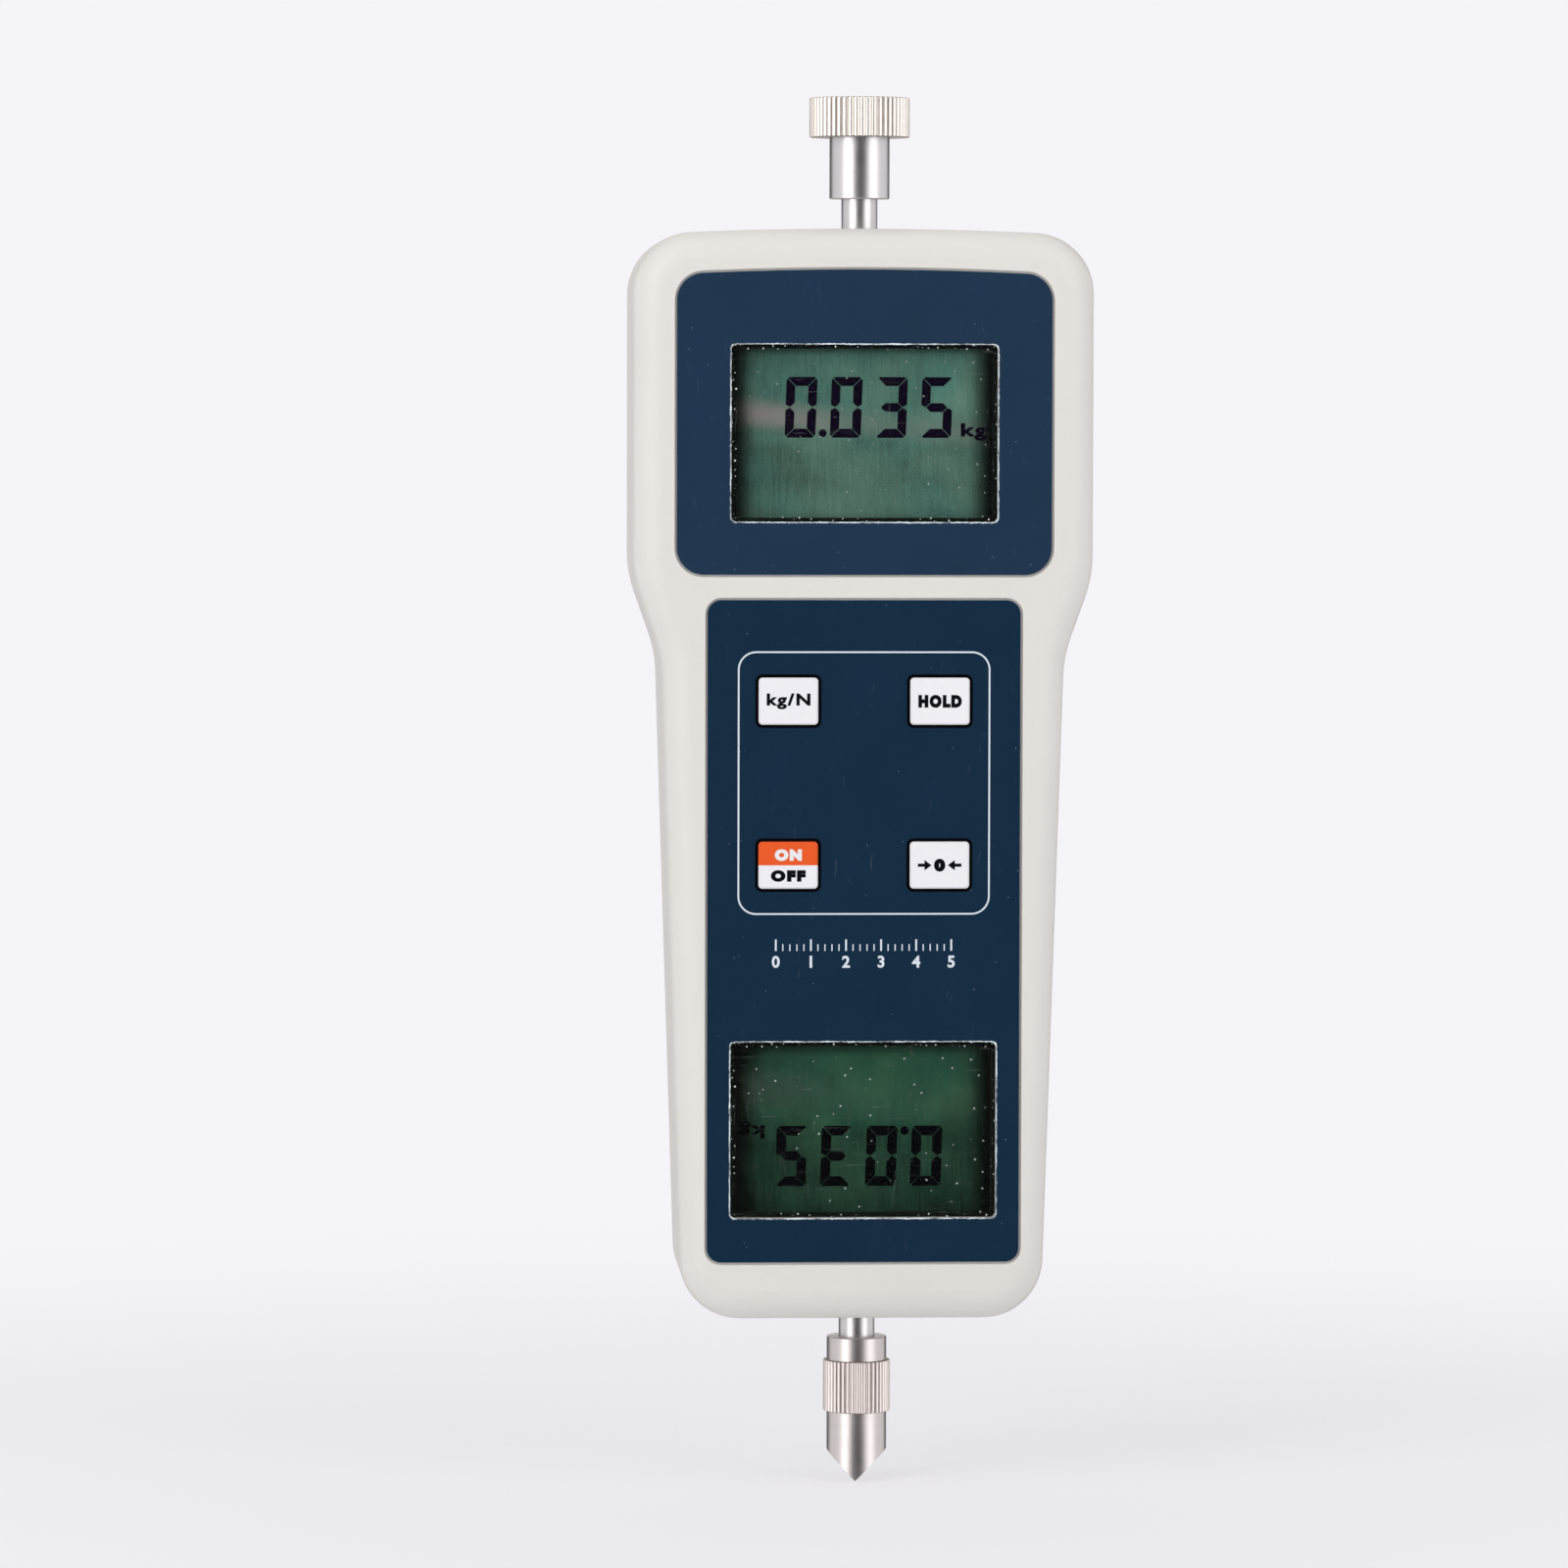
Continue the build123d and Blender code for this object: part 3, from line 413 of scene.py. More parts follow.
def moulded(name, shade, grain=0.24, rough=0.46, upper=None, above=0.0):
    """Moulded plastic with a fine eroded grain, faint clouding and a few rubbed spots; upper is another
    colour for what lies above a height."""
    finish = Finish(name, IOR=1.5)
    place = finish.place()
    if upper:
        shade = finish.mix(finish.split(place)[2].ease(above / MM - 0.03, above / MM + 0.03), shade, upper)
    fine = finish.noise(place, grain, 2.5, 0.6)
    cloud = finish.noise(place, 14, 2)
    speck = finish.cells(place, 1.7).fade(0.05, 0.09)
    return finish.coat(finish.tint(shade, 0.965 + 0.05 * cloud + 0.02 * fine - 0.05 * speck),
                       rough - 0.08 + 0.16 * fine, fine, 0.012, 0.6)


def label_film(name, shade, scratch_turn):
    """Printed polyester film: satin, with hairline scratches, rub marks and fine pale dust."""
    finish = Finish(name, IOR=1.48, Specular_IOR_Level=0.12)
    place = finish.place()
    bent = finish.shifted(place, (0, 0, 0), (1, 1, 1), (0, scratch_turn, 0))
    sway = finish.noise(place, 7, 1)
    bx, by, bz = finish.split(bent)
    first = finish.noise(finish.joined((bx + 3 * sway) * 1.6, by, bz * 0.09), 0.7, 2, 0.6)
    second = finish.noise(finish.joined((bx + 0.5 * bz + 4 * sway) * 1.3, by, bz * 0.12 + 9), 0.7, 2, 0.6)
    scratch = first.ease(0.69, 0.75).larger(second.ease(0.71, 0.77) * 0.8)
    cloud = finish.noise(place, 11, 3)
    leather = finish.noise(place, 0.5, 2, 0.6)
    dust = finish.cells(place, 1.9).fade(0.03, 0.055) * finish.noise(place, 6, 1).ease(0.45, 0.6)
    marks = (scratch * 0.05 * cloud.ease(0.4, 0.7)).larger(dust * 0.34)
    base = finish.tint(shade, 0.84 + 0.26 * cloud + 0.12 * leather)
    return finish.coat(finish.mix(marks, base, (0.62, 0.72, 0.80)),
                       0.36 + 0.12 * leather + 0.12 * scratch, leather, 0.006, 0.5)


def liquid_crystal(name, shade, glare, centre, tones, across, streak_turn, shadows, mirrored):
    """Display behind its window: brushed reflector, reflected band and the frame's soft shadow."""
    finish = Finish(name, IOR=1.5, Specular_IOR_Level=0.05)
    place = finish.shifted(finish.place(), tuple(c / MM for c in centre))
    x, _, z = finish.split(place)
    brushed = finish.shifted(place, (0, 0, 0), (1, 1, 0.06), (0, streak_turn, 0))
    streaks = finish.noise(brushed, 0.34, 3, 0.7)
    grain = finish.noise(place, 0.24, 2, 0.7)
    cloud = finish.noise(place, 7, 2)
    level = finish.curve((z + 15) / 30 + 0.22 * (cloud - 0.5), *tones)
    level = level * finish.curve((x + 22) / 44 + 0.18 * (cloud - 0.5), *across)
    light = level + 0.75 * (streaks - 0.5) + 1.2 * (grain - 0.5) + 0.7 * (cloud - 0.5) - 0.04
    green = finish.mix(finish.noise(place, 10, 1).ease(0.3, 0.7), finish.tint(shade, (0.84, 0.98, 0.98)),
                       finish.tint(shade, (1.12, 1.03, 1.0)))
    left, right, top, bottom = shadows
    shadow = (x + OPENING_LEFT).ease(0, left) * (OPENING_RIGHT - x).ease(0, right)
    shadow = shadow * (OPENING_HALF_HEIGHT - z).ease(-0.6, top)
    shadow = shadow * (z + OPENING_HALF_HEIGHT).ease(-0.6, bottom)
    height, reach, strength = mirrored
    fading = 0.3 + 0.7 * x.fade(-18, 2)
    stripe = abs(z - height + 0.09 * (x + 20)).fade(0.2, reach) * (0.5 + 0.7 * cloud) * fading
    base = finish.mix(stripe * strength, finish.tint(green, light), glare)
    return finish.coat(finish.tint(base, 0.01 + 0.99 * shadow), 0.4 + 0.2 * streaks)


def clear_window(name, centre, dusty):
    """Clear acrylic with hairlines, and dust that gathers along its edges."""
    finish = Finish(name, IOR=1.49, Specular_IOR_Level=0.3)
    place = finish.shifted(finish.place(), tuple(c / MM for c in centre))
    x, _, z = finish.split(place)
    level = finish.shifted(place, (0, 0, 0), (0.06, 1, 1.2), (0, 0.6, 0))
    upright = finish.shifted(place, (2, 0, 1), (1.1, 1, 0.05), (0, 0.2, 0))
    hair = finish.noise(level, 0.4, 2, 0.6).ease(0.68, 0.74)
    hair = hair.larger(finish.noise(upright, 0.5, 2, 0.6).ease(0.68, 0.75))
    specks = finish.cells(place, 2.1).fade(0.055, 0.095) * finish.noise(place, 3.0, 1).ease(0.46, 0.54)
    fine = finish.cells(place, 0.9).fade(0.05, 0.10) * finish.noise(place, 1.6, 1).ease(0.55, 0.62)
    edge = (abs(x) - DUST_X).ease(0, 1.6).larger((abs(z) - DUST_Z).ease(0, 1.6))
    dust = specks * dusty + fine * (0.06 + 0.08 * edge)
    finish.set("Alpha", 0.002 + 0.05 * hair + 0.003 * edge + 0.8 * dust)
    return finish.coat((0.62, 0.70, 0.66), 0.16 + 0.3 * hair + 0.5 * dust)


def turned_steel(name, shade, rough):
    """Turned stainless steel: fine rings left by the tool round the axis."""
    finish = Finish(name, Metallic=1.0)
    x, y, z = finish.split(finish.shifted(finish.place(), (0, AXIS_Y / MM, 0)))
    radius = (x * x + y * y).root()
    lathe_lines = finish.noise(finish.joined(radius, 0, z), 0.09, 3, 0.7)
    broad = finish.noise(finish.joined(radius, 0, z), 0.9, 2)
    smudge = finish.noise(finish.joined(x, y, z), 3.5, 3)
    return finish.coat(finish.tint(shade, 0.86 + 0.16 * lathe_lines + 0.08 * broad),
                       rough + 0.14 * lathe_lines + 0.10 * smudge, lathe_lines + broad, 0.006, 0.5)


def knurled_steel(name, shade, radius, depth):
    """Knurled band with clean crests and straight grooves painted darker as painted shade; radius and depth
    in millimetres.
    """
    finish = Finish(name, Metallic=1.0)
    x, y, z = finish.split(finish.shifted(finish.place(), (0, AXIS_Y / MM, 0)))
    # Colour darker towards the foot of each ridge: painted shade in the grooves
    crest = (x * x + y * y).root().ease(radius - 0.95 * depth, radius - 0.45 * depth)
    smudge = finish.noise(finish.joined(x, y, z), 2.6, 3)
    return finish.coat(finish.tint(shade, (0.38 + 0.58 * crest) * (0.92 + 0.16 * smudge)),
                       0.34 + 0.16 * smudge)


def bare_metal(name, shade, rough, grain_size, stretch=(1, 1, 1)):
    """Milled, cast or plated metal with a directional grain."""
    finish = Finish(name, Metallic=1.0)
    place = finish.shifted(finish.place(), (0, 0, 0), stretch)
    grain = finish.noise(place, grain_size, 4, 0.6)
    stain = finish.noise(finish.place(), 5, 3)
    return finish.coat(finish.tint(shade, 0.82 + 0.2 * stain + 0.1 * grain),
                       rough + 0.18 * grain + 0.08 * stain, grain, 0.01, 0.5)


def circuit_board(name):
    """Green board with tracks, pads and solder under lacquer."""
    finish = Finish(name, IOR=1.5)
    place = finish.place()
    lanes = finish.noise(finish.shifted(place, (0, 0, 0), (1, 1, 0.12)), 1.1, 0).ease(0.52, 0.54)
    rows = finish.noise(finish.shifted(place, (7, 0, 0), (0.12, 1, 1)), 1.3, 0).ease(0.54, 0.56)
    zone = finish.noise(place, 9, 1).ease(0.47, 0.53)
    track = lanes * zone + rows * (1 - zone)
    pad = finish.cells(place, 2.5).fade(0.14, 0.17)
    base = finish.mix(track * 0.6, (0.012, 0.10, 0.035), (0.03, 0.22, 0.07))
    finish.set("Metallic", pad * 0.9)
    return finish.coat(finish.mix(pad, base, (0.72, 0.70, 0.62)),
                       0.34 + 0.1 * track, track + pad, 0.03, 0.5)


def soft_black(name, shade=(0.016, 0.016, 0.018), rough=0.5, gloss=0.3):
    """Moulded black plastic or rubber with a fine grain."""
    finish = Finish(name, IOR=1.5, Specular_IOR_Level=gloss)
    place = finish.place()
    fine = finish.noise(place, 0.2, 3, 0.6)
    cloud = finish.noise(place, 5, 2)
    return finish.coat(finish.tint(shade, 0.7 + 0.4 * fine + 0.2 * cloud),
                       rough - 0.06 + 0.14 * fine, fine, 0.01, 0.4)


def ribbon_film(name):
    """Pale flat cable with its copper lines showing through."""
    finish = Finish(name, IOR=1.5)
    x, _, _ = finish.split(finish.place())
    line = finish.node("ShaderNodeTexWave", {"wave_type": "BANDS", "bands_direction": "X"},
                       {"Vector": finish.joined(x, 0, 0), "Scale": 0.314}).ease(0.35, 0.65)
    cloud = finish.noise(finish.place(), 2, 2)
    base = finish.mix(line, (0.72, 0.70, 0.64), (0.50, 0.40, 0.28))
    return finish.coat(finish.tint(base, 0.9 + 0.15 * cloud), 0.35 + 0.1 * cloud, line, 0.05, 0.5)


def cell_sleeve(name):
    """Plain shrink sleeve with bare metal ends."""
    finish = Finish(name, IOR=1.5)
    centre = middle("battery_cells") / MM
    low, high = (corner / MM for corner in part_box("battery_cells"))
    _, _, z = finish.split(finish.place())
    reach = (high.z - low.z) / 2
    bare = abs(z - centre.z).ease(reach - 3.0, reach - 2.9)
    wrinkle = finish.noise(finish.place(), 1.4, 3)
    sleeve = finish.tint((0.030, 0.045, 0.075), 0.8 + 0.4 * wrinkle)
    finish.set("Metallic", bare)
    return finish.coat(finish.mix(bare, sleeve, (0.70, 0.69, 0.66)),
                       0.30 + 0.15 * wrinkle, wrinkle, 0.02, 0.4)


def screen_ink(name, shade, rough=0.5, worn=0.12, gloss=0.3):
    """Screen-printed ink, very slightly uneven and worn."""
    finish = Finish(name, IOR=1.5, Specular_IOR_Level=gloss)
    place = finish.place()
    patchy = finish.noise(place, 0.35, 3, 0.6)
    return finish.coat(finish.tint(shade, 1 - worn / 2 + worn * patchy),
                       rough - 0.06 + 0.12 * patchy)


def cut_edge(name):
    """White core of the film along a rough cut, duller where the cut is clean."""
    finish = Finish(name, IOR=1.5, Specular_IOR_Level=0.2)
    place = finish.place()
    ragged = finish.noise(place, 0.5, 3, 0.7)
    patch = finish.noise(place, 3.0, 2)
    light = 0.55 + 0.5 * ragged + 0.5 * patch.ease(0.4, 0.65)
    finish.set("Alpha", 0.35 + 0.65 * (ragged + patch).ease(0.80, 1.05))
    return finish.coat(finish.tint((0.60, 0.67, 0.70), light), 0.6 + 0.2 * ragged)


# Mesh helpers, in millimetres of the row frame
def rounded_loop(width, height, radius, x=0.0, z=0.0, steps=8):
    """Points round a rectangle with round corners."""
    points = []
    for quarter, (sx, sz) in enumerate(((1, 1), (-1, 1), (-1, -1), (1, -1))):
        for step in range(steps + 1):
            angle = math.pi / 2 * (quarter + step / steps)
            points.append((x + sx * (width / 2 - radius) + radius * math.cos(angle),
                           z + sz * (height / 2 - radius) + radius * math.sin(angle)))
    return points


def frayed(loop, step, depth, seed):
    """A loop with points every step or less, each moved off it at random by up to depth."""
    chance = random.Random(seed)
    points = []
    for (ax, az), (bx, bz) in zip(loop, loop[1:] + loop[:1]):
        parts = max(1, round(math.hypot(bx - ax, bz - az) / step))
        for i in range(parts):
            share = i / parts
            points.append((ax + share * (bx - ax) + chance.uniform(-depth, depth),
                           az + share * (bz - az) + chance.uniform(-depth, depth)))
    return points


def prism(mesh, outline, back, front):
    """Adds a flat piece with a convex outline between two Y values, front being the lower."""
    near = [mesh.verts.new((x, front, z)) for x, z in outline]
    far = [mesh.verts.new((x, back, z)) for x, z in outline]
    mesh.faces.new(near)
    mesh.faces.new(reversed(far))
    for i in range(len(outline)):
        j = (i + 1) % len(outline)
        mesh.faces.new((near[j], near[i], far[i], far[j]))


def band(mesh, outer, inner, back, front):
    """Adds a flat ring between two loops with as many points."""
    rings = [[mesh.verts.new((x, y, z)) for x, z in loop] for loop, y in
             ((outer, front), (inner, front), (inner, back), (outer, back))]
    for a, b in zip(rings, rings[1:] + rings[:1]):
        for i in range(len(outer)):
            j = (i + 1) % len(outer)
            mesh.faces.new((a[i], a[j], b[j], b[i]))


def lathe(mesh, profile, segments=96):
    """Adds a turned piece round the measuring axis from (radius, height) points, poles at radius 0."""
    rings = []
    for radius, z in profile:
        if radius == 0:
            rings.append([mesh.verts.new((0, AXIS_Y / MM, z))])
        else:
            rings.append([mesh.verts.new((radius * math.cos(a), AXIS_Y / MM + radius * math.sin(a), z))
                          for a in (2 * math.pi * i / segments for i in range(segments))])
    for low, high in zip(rings, rings[1:]):
        for i in range(segments):
            j = (i + 1) % segments
            corners = [low[i % len(low)], low[j % len(low)], high[j % len(high)], high[i % len(high)]]
            mesh.faces.new(list(dict.fromkeys(corners)))


def added(name, data):
    """A new object, linked to the scene."""
    made = bpy.data.objects.new(name, data)
    bpy.context.scene.collection.objects.link(made)
    return made


def settled(name, mesh):
    """The mesh data of a bmesh, which is freed."""
    data = bpy.data.meshes.new(name)
    mesh.to_mesh(data)
    mesh.free()
    return data


def finished(name, mesh, material, body="case", smooth_under=None, stands_for=()):
    """Turns a bmesh in millimetres into a piece of the gauge that rides on a body."""
    bmesh.ops.remove_doubles(mesh, verts=mesh.verts, dist=1e-5)
    bmesh.ops.recalc_face_normals(mesh, faces=mesh.faces)
    bmesh.ops.scale(mesh, vec=(MM, MM, MM), verts=mesh.verts)
    return placed(name, settled(name, mesh), material, body, smooth_under, stands_for)


def placed(name, data, material, body="case", smooth_under=None, stands_for=()):
    """Puts a mesh that is already in the row frame on its body."""
    data.materials.clear()
    data.materials.append(material)
    if smooth_under is not None:
        data.shade_smooth()
        data.set_sharp_from_angle(angle=math.radians(smooth_under))
    piece = added(name, data)
    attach(piece, body)
    if stands_for:
        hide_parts(*stands_for)
    return piece


def lettering(name, words, height, width, x, z, front, material, body="case", heavy=0.0, turned=False):
    """Words as a thin raised print that faces the front, fitted to a height and a width in metres."""
    curve = bpy.data.curves.new(name, "FONT")
    curve.body = words
    curve.align_x = "CENTER"
    curve.align_y = "CENTER"
    curve.size = 1.0
    curve.space_character = 1.12 + 2 * heavy
    curve.offset = heavy
    curve.extrude = 0.5
    curve.resolution_u = 4
    source = added(name, curve)
    bpy.context.view_layer.update()
    graph = bpy.context.evaluated_depsgraph_get()
    data = bpy.data.meshes.new_from_object(source.evaluated_get(graph))
    bpy.data.objects.remove(source)
    points = [v.co for v in data.vertices]
    low = Vector(min(p[i] for p in points) for i in range(3))
    high = Vector(max(p[i] for p in points) for i in range(3))
    centre, span = (low + high) / 2, high - low
    scale_x = (width or height * span.x / span.y) / span.x
    ink = bpy.context.scene.gauge_print.ink
    fit = Matrix.Diagonal((scale_x, height / span.y, ink / span.z, 1))
    facing = Matrix.Rotation(math.pi if turned else 0, 4, "Y") @ Matrix.Rotation(math.pi / 2, 4, "X")
    data.transform(Matrix.Translation((x, front - ink / 2, z)) @ facing @ fit @ Matrix.Translation(-centre))
    return placed(name, data, material, body)


# Geometry Nodes
class Grower(Shading):
    """A geometry node tree being built, with named inputs."""

    def __init__(self, name, **inputs):
        super().__init__(bpy.data.node_groups.new(name, "GeometryNodeTree"))
        socket = self.tree.interface.new_socket
        for way in ("INPUT", "OUTPUT"):
            socket("Geometry", in_out=way, socket_type="NodeSocketGeometry")
        for label, kind in inputs.items():
            socket(label.replace("_", " "), in_out="INPUT", socket_type="NodeSocket" + kind)
        self.source = self.tree.nodes.new("NodeGroupInput")
        self.end = self.tree.nodes.new("NodeGroupOutput")

    def given(self, *names):
        return [Wire(self, self.source.outputs[name]) for name in names]

    def moved(self, geometry, **change):
        return self.node("GeometryNodeTransform", None, {"Geometry": geometry, **change})

    def together(self, *geometries):
        join = self.tree.nodes.new("GeometryNodeJoinGeometry")
        for geometry in reversed(geometries):
            self.feed(join.inputs[0], geometry)
        return Wire(self, join.outputs[0])

    def close(self, geometry, material):
        """Ends the tree with plain geometry that has its material."""
        solid = self.node("GeometryNodeRealizeInstances", None, {"Geometry": geometry})
        done = self.node("GeometryNodeSetMaterial", None, {"Geometry": solid, "Material": material})
        self.feed(self.end.inputs[0], done)

    def mesh(self, name, **values):
        """The tree's result as a plain mesh, with its inputs set by identifier."""
        carrier = added(name, bpy.data.meshes.new(name))
        modifier = carrier.modifiers.new(name, "NODES")
        modifier.node_group = self.tree
        for item in self.tree.interface.items_tree:
            if item.in_out == "INPUT" and item.name.replace(" ", "_") in values:
                modifier[item.identifier] = values[item.name.replace(" ", "_")]
        bpy.context.view_layer.update()
        graph = bpy.context.evaluated_depsgraph_get()
        data = bpy.data.meshes.new_from_object(carrier.evaluated_get(graph), depsgraph=graph)
        carrier.modifiers.remove(modifier)
        bpy.data.objects.remove(carrier)
        return data


def knurl_tree():
    """Rounded ridges round the measuring axis, each with tapered ends."""
    grower = Grower("Knurl", Count="Int", Radius="Float", Depth="Float", Low="Float", Length="Float",
                    Taper="Float", Material="Material")
    count, radius, depth, low, tall, taper, material = grower.given("Count", "Radius", "Depth", "Low",
                                                                    "Length", "Taper", "Material")
    half_pitch = radius * math.pi / count
    straight = tall - taper * 2.0
    shank = grower.node("GeometryNodeMeshCylinder", {"fill_type": "NONE"},
                        {"Vertices": RIDGE_SIDES, "Radius": half_pitch, "Depth": straight})
    end = grower.node("GeometryNodeMeshCone", {"fill_type": "NGON"},
                      {"Vertices": RIDGE_SIDES, "Radius Top": half_pitch * RIDGE_END,
                       "Radius Bottom": half_pitch, "Depth": taper})
    half = straight * 0.5
    upper = grower.moved(end, Translation=grower.joined(0, 0, half))
    lower = grower.moved(end, Translation=grower.joined(0, 0, half * -1.0), Rotation=(math.pi, 0, 0))
    squash = grower.joined(depth / half_pitch, RIDGE_SHARE, 1)
    ridge = grower.moved(grower.together(shank, upper, lower), Scale=squash)
    ring = grower.node("GeometryNodeMeshCircle", None, {"Vertices": count, "Radius": radius - depth})
    outward = grower.node("FunctionNodeAlignRotationToVector", {"axis": "X", "pivot_axis": "Z"},
                          {"Vector": grower.node("GeometryNodeInputPosition")})
    ridges = grower.node("GeometryNodeInstanceOnPoints", None,
                         {"Points": ring, "Instance": ridge, "Rotation": outward})
    place = grower.joined(0, AXIS_Y, low + tall * 0.5)
    grower.close(grower.moved(ridges, Translation=place), material)
    return grower


def scale_tree():
    """A row of printed ticks in which every so many is longer."""
    grower = Grower("Tick row", Steps="Int", Long_Every="Int", Width="Float", Short="Float", Long="Float",
                    Thick="Float", Ink="Float", Place="Vector", Material="Material")
    steps, every, width, thick, ink, place, material = grower.given("Steps", "Long Every", "Width", "Thick",
                                                                    "Ink", "Place", "Material")
    row = grower.node("GeometryNodeMeshLine", None,
                      {"Count": steps + 1.0, "Start Location": grower.joined(width * -0.5, 0, 0),
                       "Offset": grower.joined(width / steps, 0, 0)})
    index = grower.node("GeometryNodeInputIndex")
    main = grower.node("FunctionNodeCompare", {"data_type": "FLOAT", "operation": "LESS_THAN"},
                       {"A": index.maths("MODULO", index, every), "B": 0.5})
    others = grower.node("FunctionNodeBooleanMath", {"operation": "NOT"}, {0: main})
    ticks = []
    for name, wide, picked in (("Short", 0.8, others), ("Long", 1.25, main)):
        tall, = grower.given(name)
        bar = grower.node("GeometryNodeMeshCube", None, {"Size": grower.joined(thick * wide, ink, tall)})
        hung = grower.moved(bar, Translation=grower.joined(0, 0, tall * 0.5))
        ticks.append(grower.node("GeometryNodeInstanceOnPoints", None,
                                 {"Points": row, "Selection": picked, "Instance": hung}))
    grower.close(grower.moved(grower.together(*ticks), Translation=place), material)
    return grower


def fleck_tree():
    """Tiny flat chips scattered along a closed line."""
    grower = Grower("Film chips", Count="Int", Width="Float", Height="Float", Spread="Float", Size="Float",
                    Seed="Int", Place="Vector", Material="Material")
    count, width, height, spread, size, seed, place, material = grower.given(
        "Count", "Width", "Height", "Spread", "Size", "Seed", "Place", "Material")
    outline = grower.node("GeometryNodeCurvePrimitiveQuadrilateral", {"mode": "RECTANGLE"},
                          {"Width": width, "Height": height})
    points = grower.node("GeometryNodeCurveToPoints", {"mode": "COUNT"}, {"Curve": outline, "Count": count})
    number = grower.node("GeometryNodeInputIndex")

    def chance(low, high, extra):
        return grower.node("FunctionNodeRandomValue", {"data_type": "FLOAT"},
                           {"Min": low, "Max": high, "ID": number, "Seed": seed + extra}, "Value")

    drift = grower.joined(chance(-1.0, 1.0, 1.0) * spread, chance(-1.0, 1.0, 2.0) * spread, 0)
    loose = grower.node("GeometryNodeSetPosition", None, {"Geometry": points, "Offset": drift})
    chip = grower.node("GeometryNodeMeshCircle", {"fill_type": "NGON"}, {"Vertices": 5, "Radius": 1.0})
    small = size * chance(0.35, 1.0, 3.0).power(2.0)
    chips = grower.node("GeometryNodeInstanceOnPoints", None,
                        {"Points": loose, "Instance": chip,
                         "Rotation": grower.joined(0, 0, chance(0.0, 2 * math.pi, 5.0)),
                         "Scale": grower.joined(small, small * chance(0.3, 1.0, 4.0), 1)})
    grower.close(grower.moved(chips, Rotation=(math.pi / 2, 0, 0), Translation=place), material)
    return grower


# Operators
class GAUGE_OT_dress_case(bpy.types.Operator):
    """Give the case halves, the battery door, the keys and the label films their surfaces"""
    bl_idname = "gauge.dress_case"
    bl_label = "Case, keys and labels"

    def execute(self, context):
        look = context.scene.gauge_case
        shell = moulded("Housing plastic", look.plastic, look.grain / MM)
        for node in ("front_case", "rear_case", "battery_door"):
            cover(node, shell)
        cover("upper_label", label_film("Upper film", look.upper_film, 0.2))
        cover("lower_label", label_film("Lower film", look.lower_film, -0.1))
        key = moulded("Key plastic", look.keys, 0.16, 0.38)
        for name in ("unit", "peak", "zero"):
            cover("key_" + name, key)
        cover("key_power", moulded("Power key plastic", look.keys, 0.16, 0.38, look.accent,
                                   middle("key_power").z))
        return {"FINISHED"}


def cover(node, material):
    """Gives a CAD node one material."""
    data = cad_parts[node].data
    data.materials.clear()
    data.materials.append(material)


class GAUGE_OT_dress_inside(bpy.types.Operator):
    """Give everything inside the case its surface"""
    bl_idname = "gauge.dress_inside"
    bl_label = "Parts inside the case"

    def execute(self, context):
        rubber = soft_black("Contact rubber", (0.05, 0.05, 0.055), 0.7)
        plunger = soft_black("Plunger plastic", (0.02, 0.02, 0.022), 0.4)
        surfaces = (
            (circuit_board("Board lacquer"), "main_board display_board"),
            (soft_black("Black plastic"), "board_chips key_switches data_socket"),
            # Display frame: black plastic, made near-black with a green tint as painted shade of the recess
            # behind the window
            (soft_black("Display frame", (0.004, 0.006, 0.004), 0.8, 0.03),
             "upper_display_frame lower_display_frame"),
            (rubber, "upper_contact_strips lower_contact_strips"),
            (plunger, "plunger_unit plunger_peak plunger_power plunger_zero"),
            (bare_metal("Zinc plate", (0.62, 0.62, 0.60), 0.28, 0.5),
             "board_screws case_screws chassis_screws load_cell_bolts spindle_nuts battery_contacts "
             "battery_leaves"),
            (bare_metal("Milled aluminium", (0.76, 0.77, 0.78), 0.28, 0.35, (0.06, 1, 1)), "load_cell"),
            (bare_metal("Cast aluminium", (0.60, 0.61, 0.62), 0.42, 0.5), "chassis"),
            (bare_metal("Copper foil", (0.72, 0.42, 0.26), 0.3, 0.3, (0.1, 1, 1)), "strain_gauges"),
            (bare_metal("Sintered bronze", (0.55, 0.40, 0.22), 0.45, 0.25), "upper_bush lower_bush"),
            (ribbon_film("Flat cable film"), "ribbon_cable"),
            (cell_sleeve("Cell sleeve"), "battery_cells"))
        for material, nodes in surfaces:
            for node in nodes.split():
                cover(node, material)
        return {"FINISHED"}


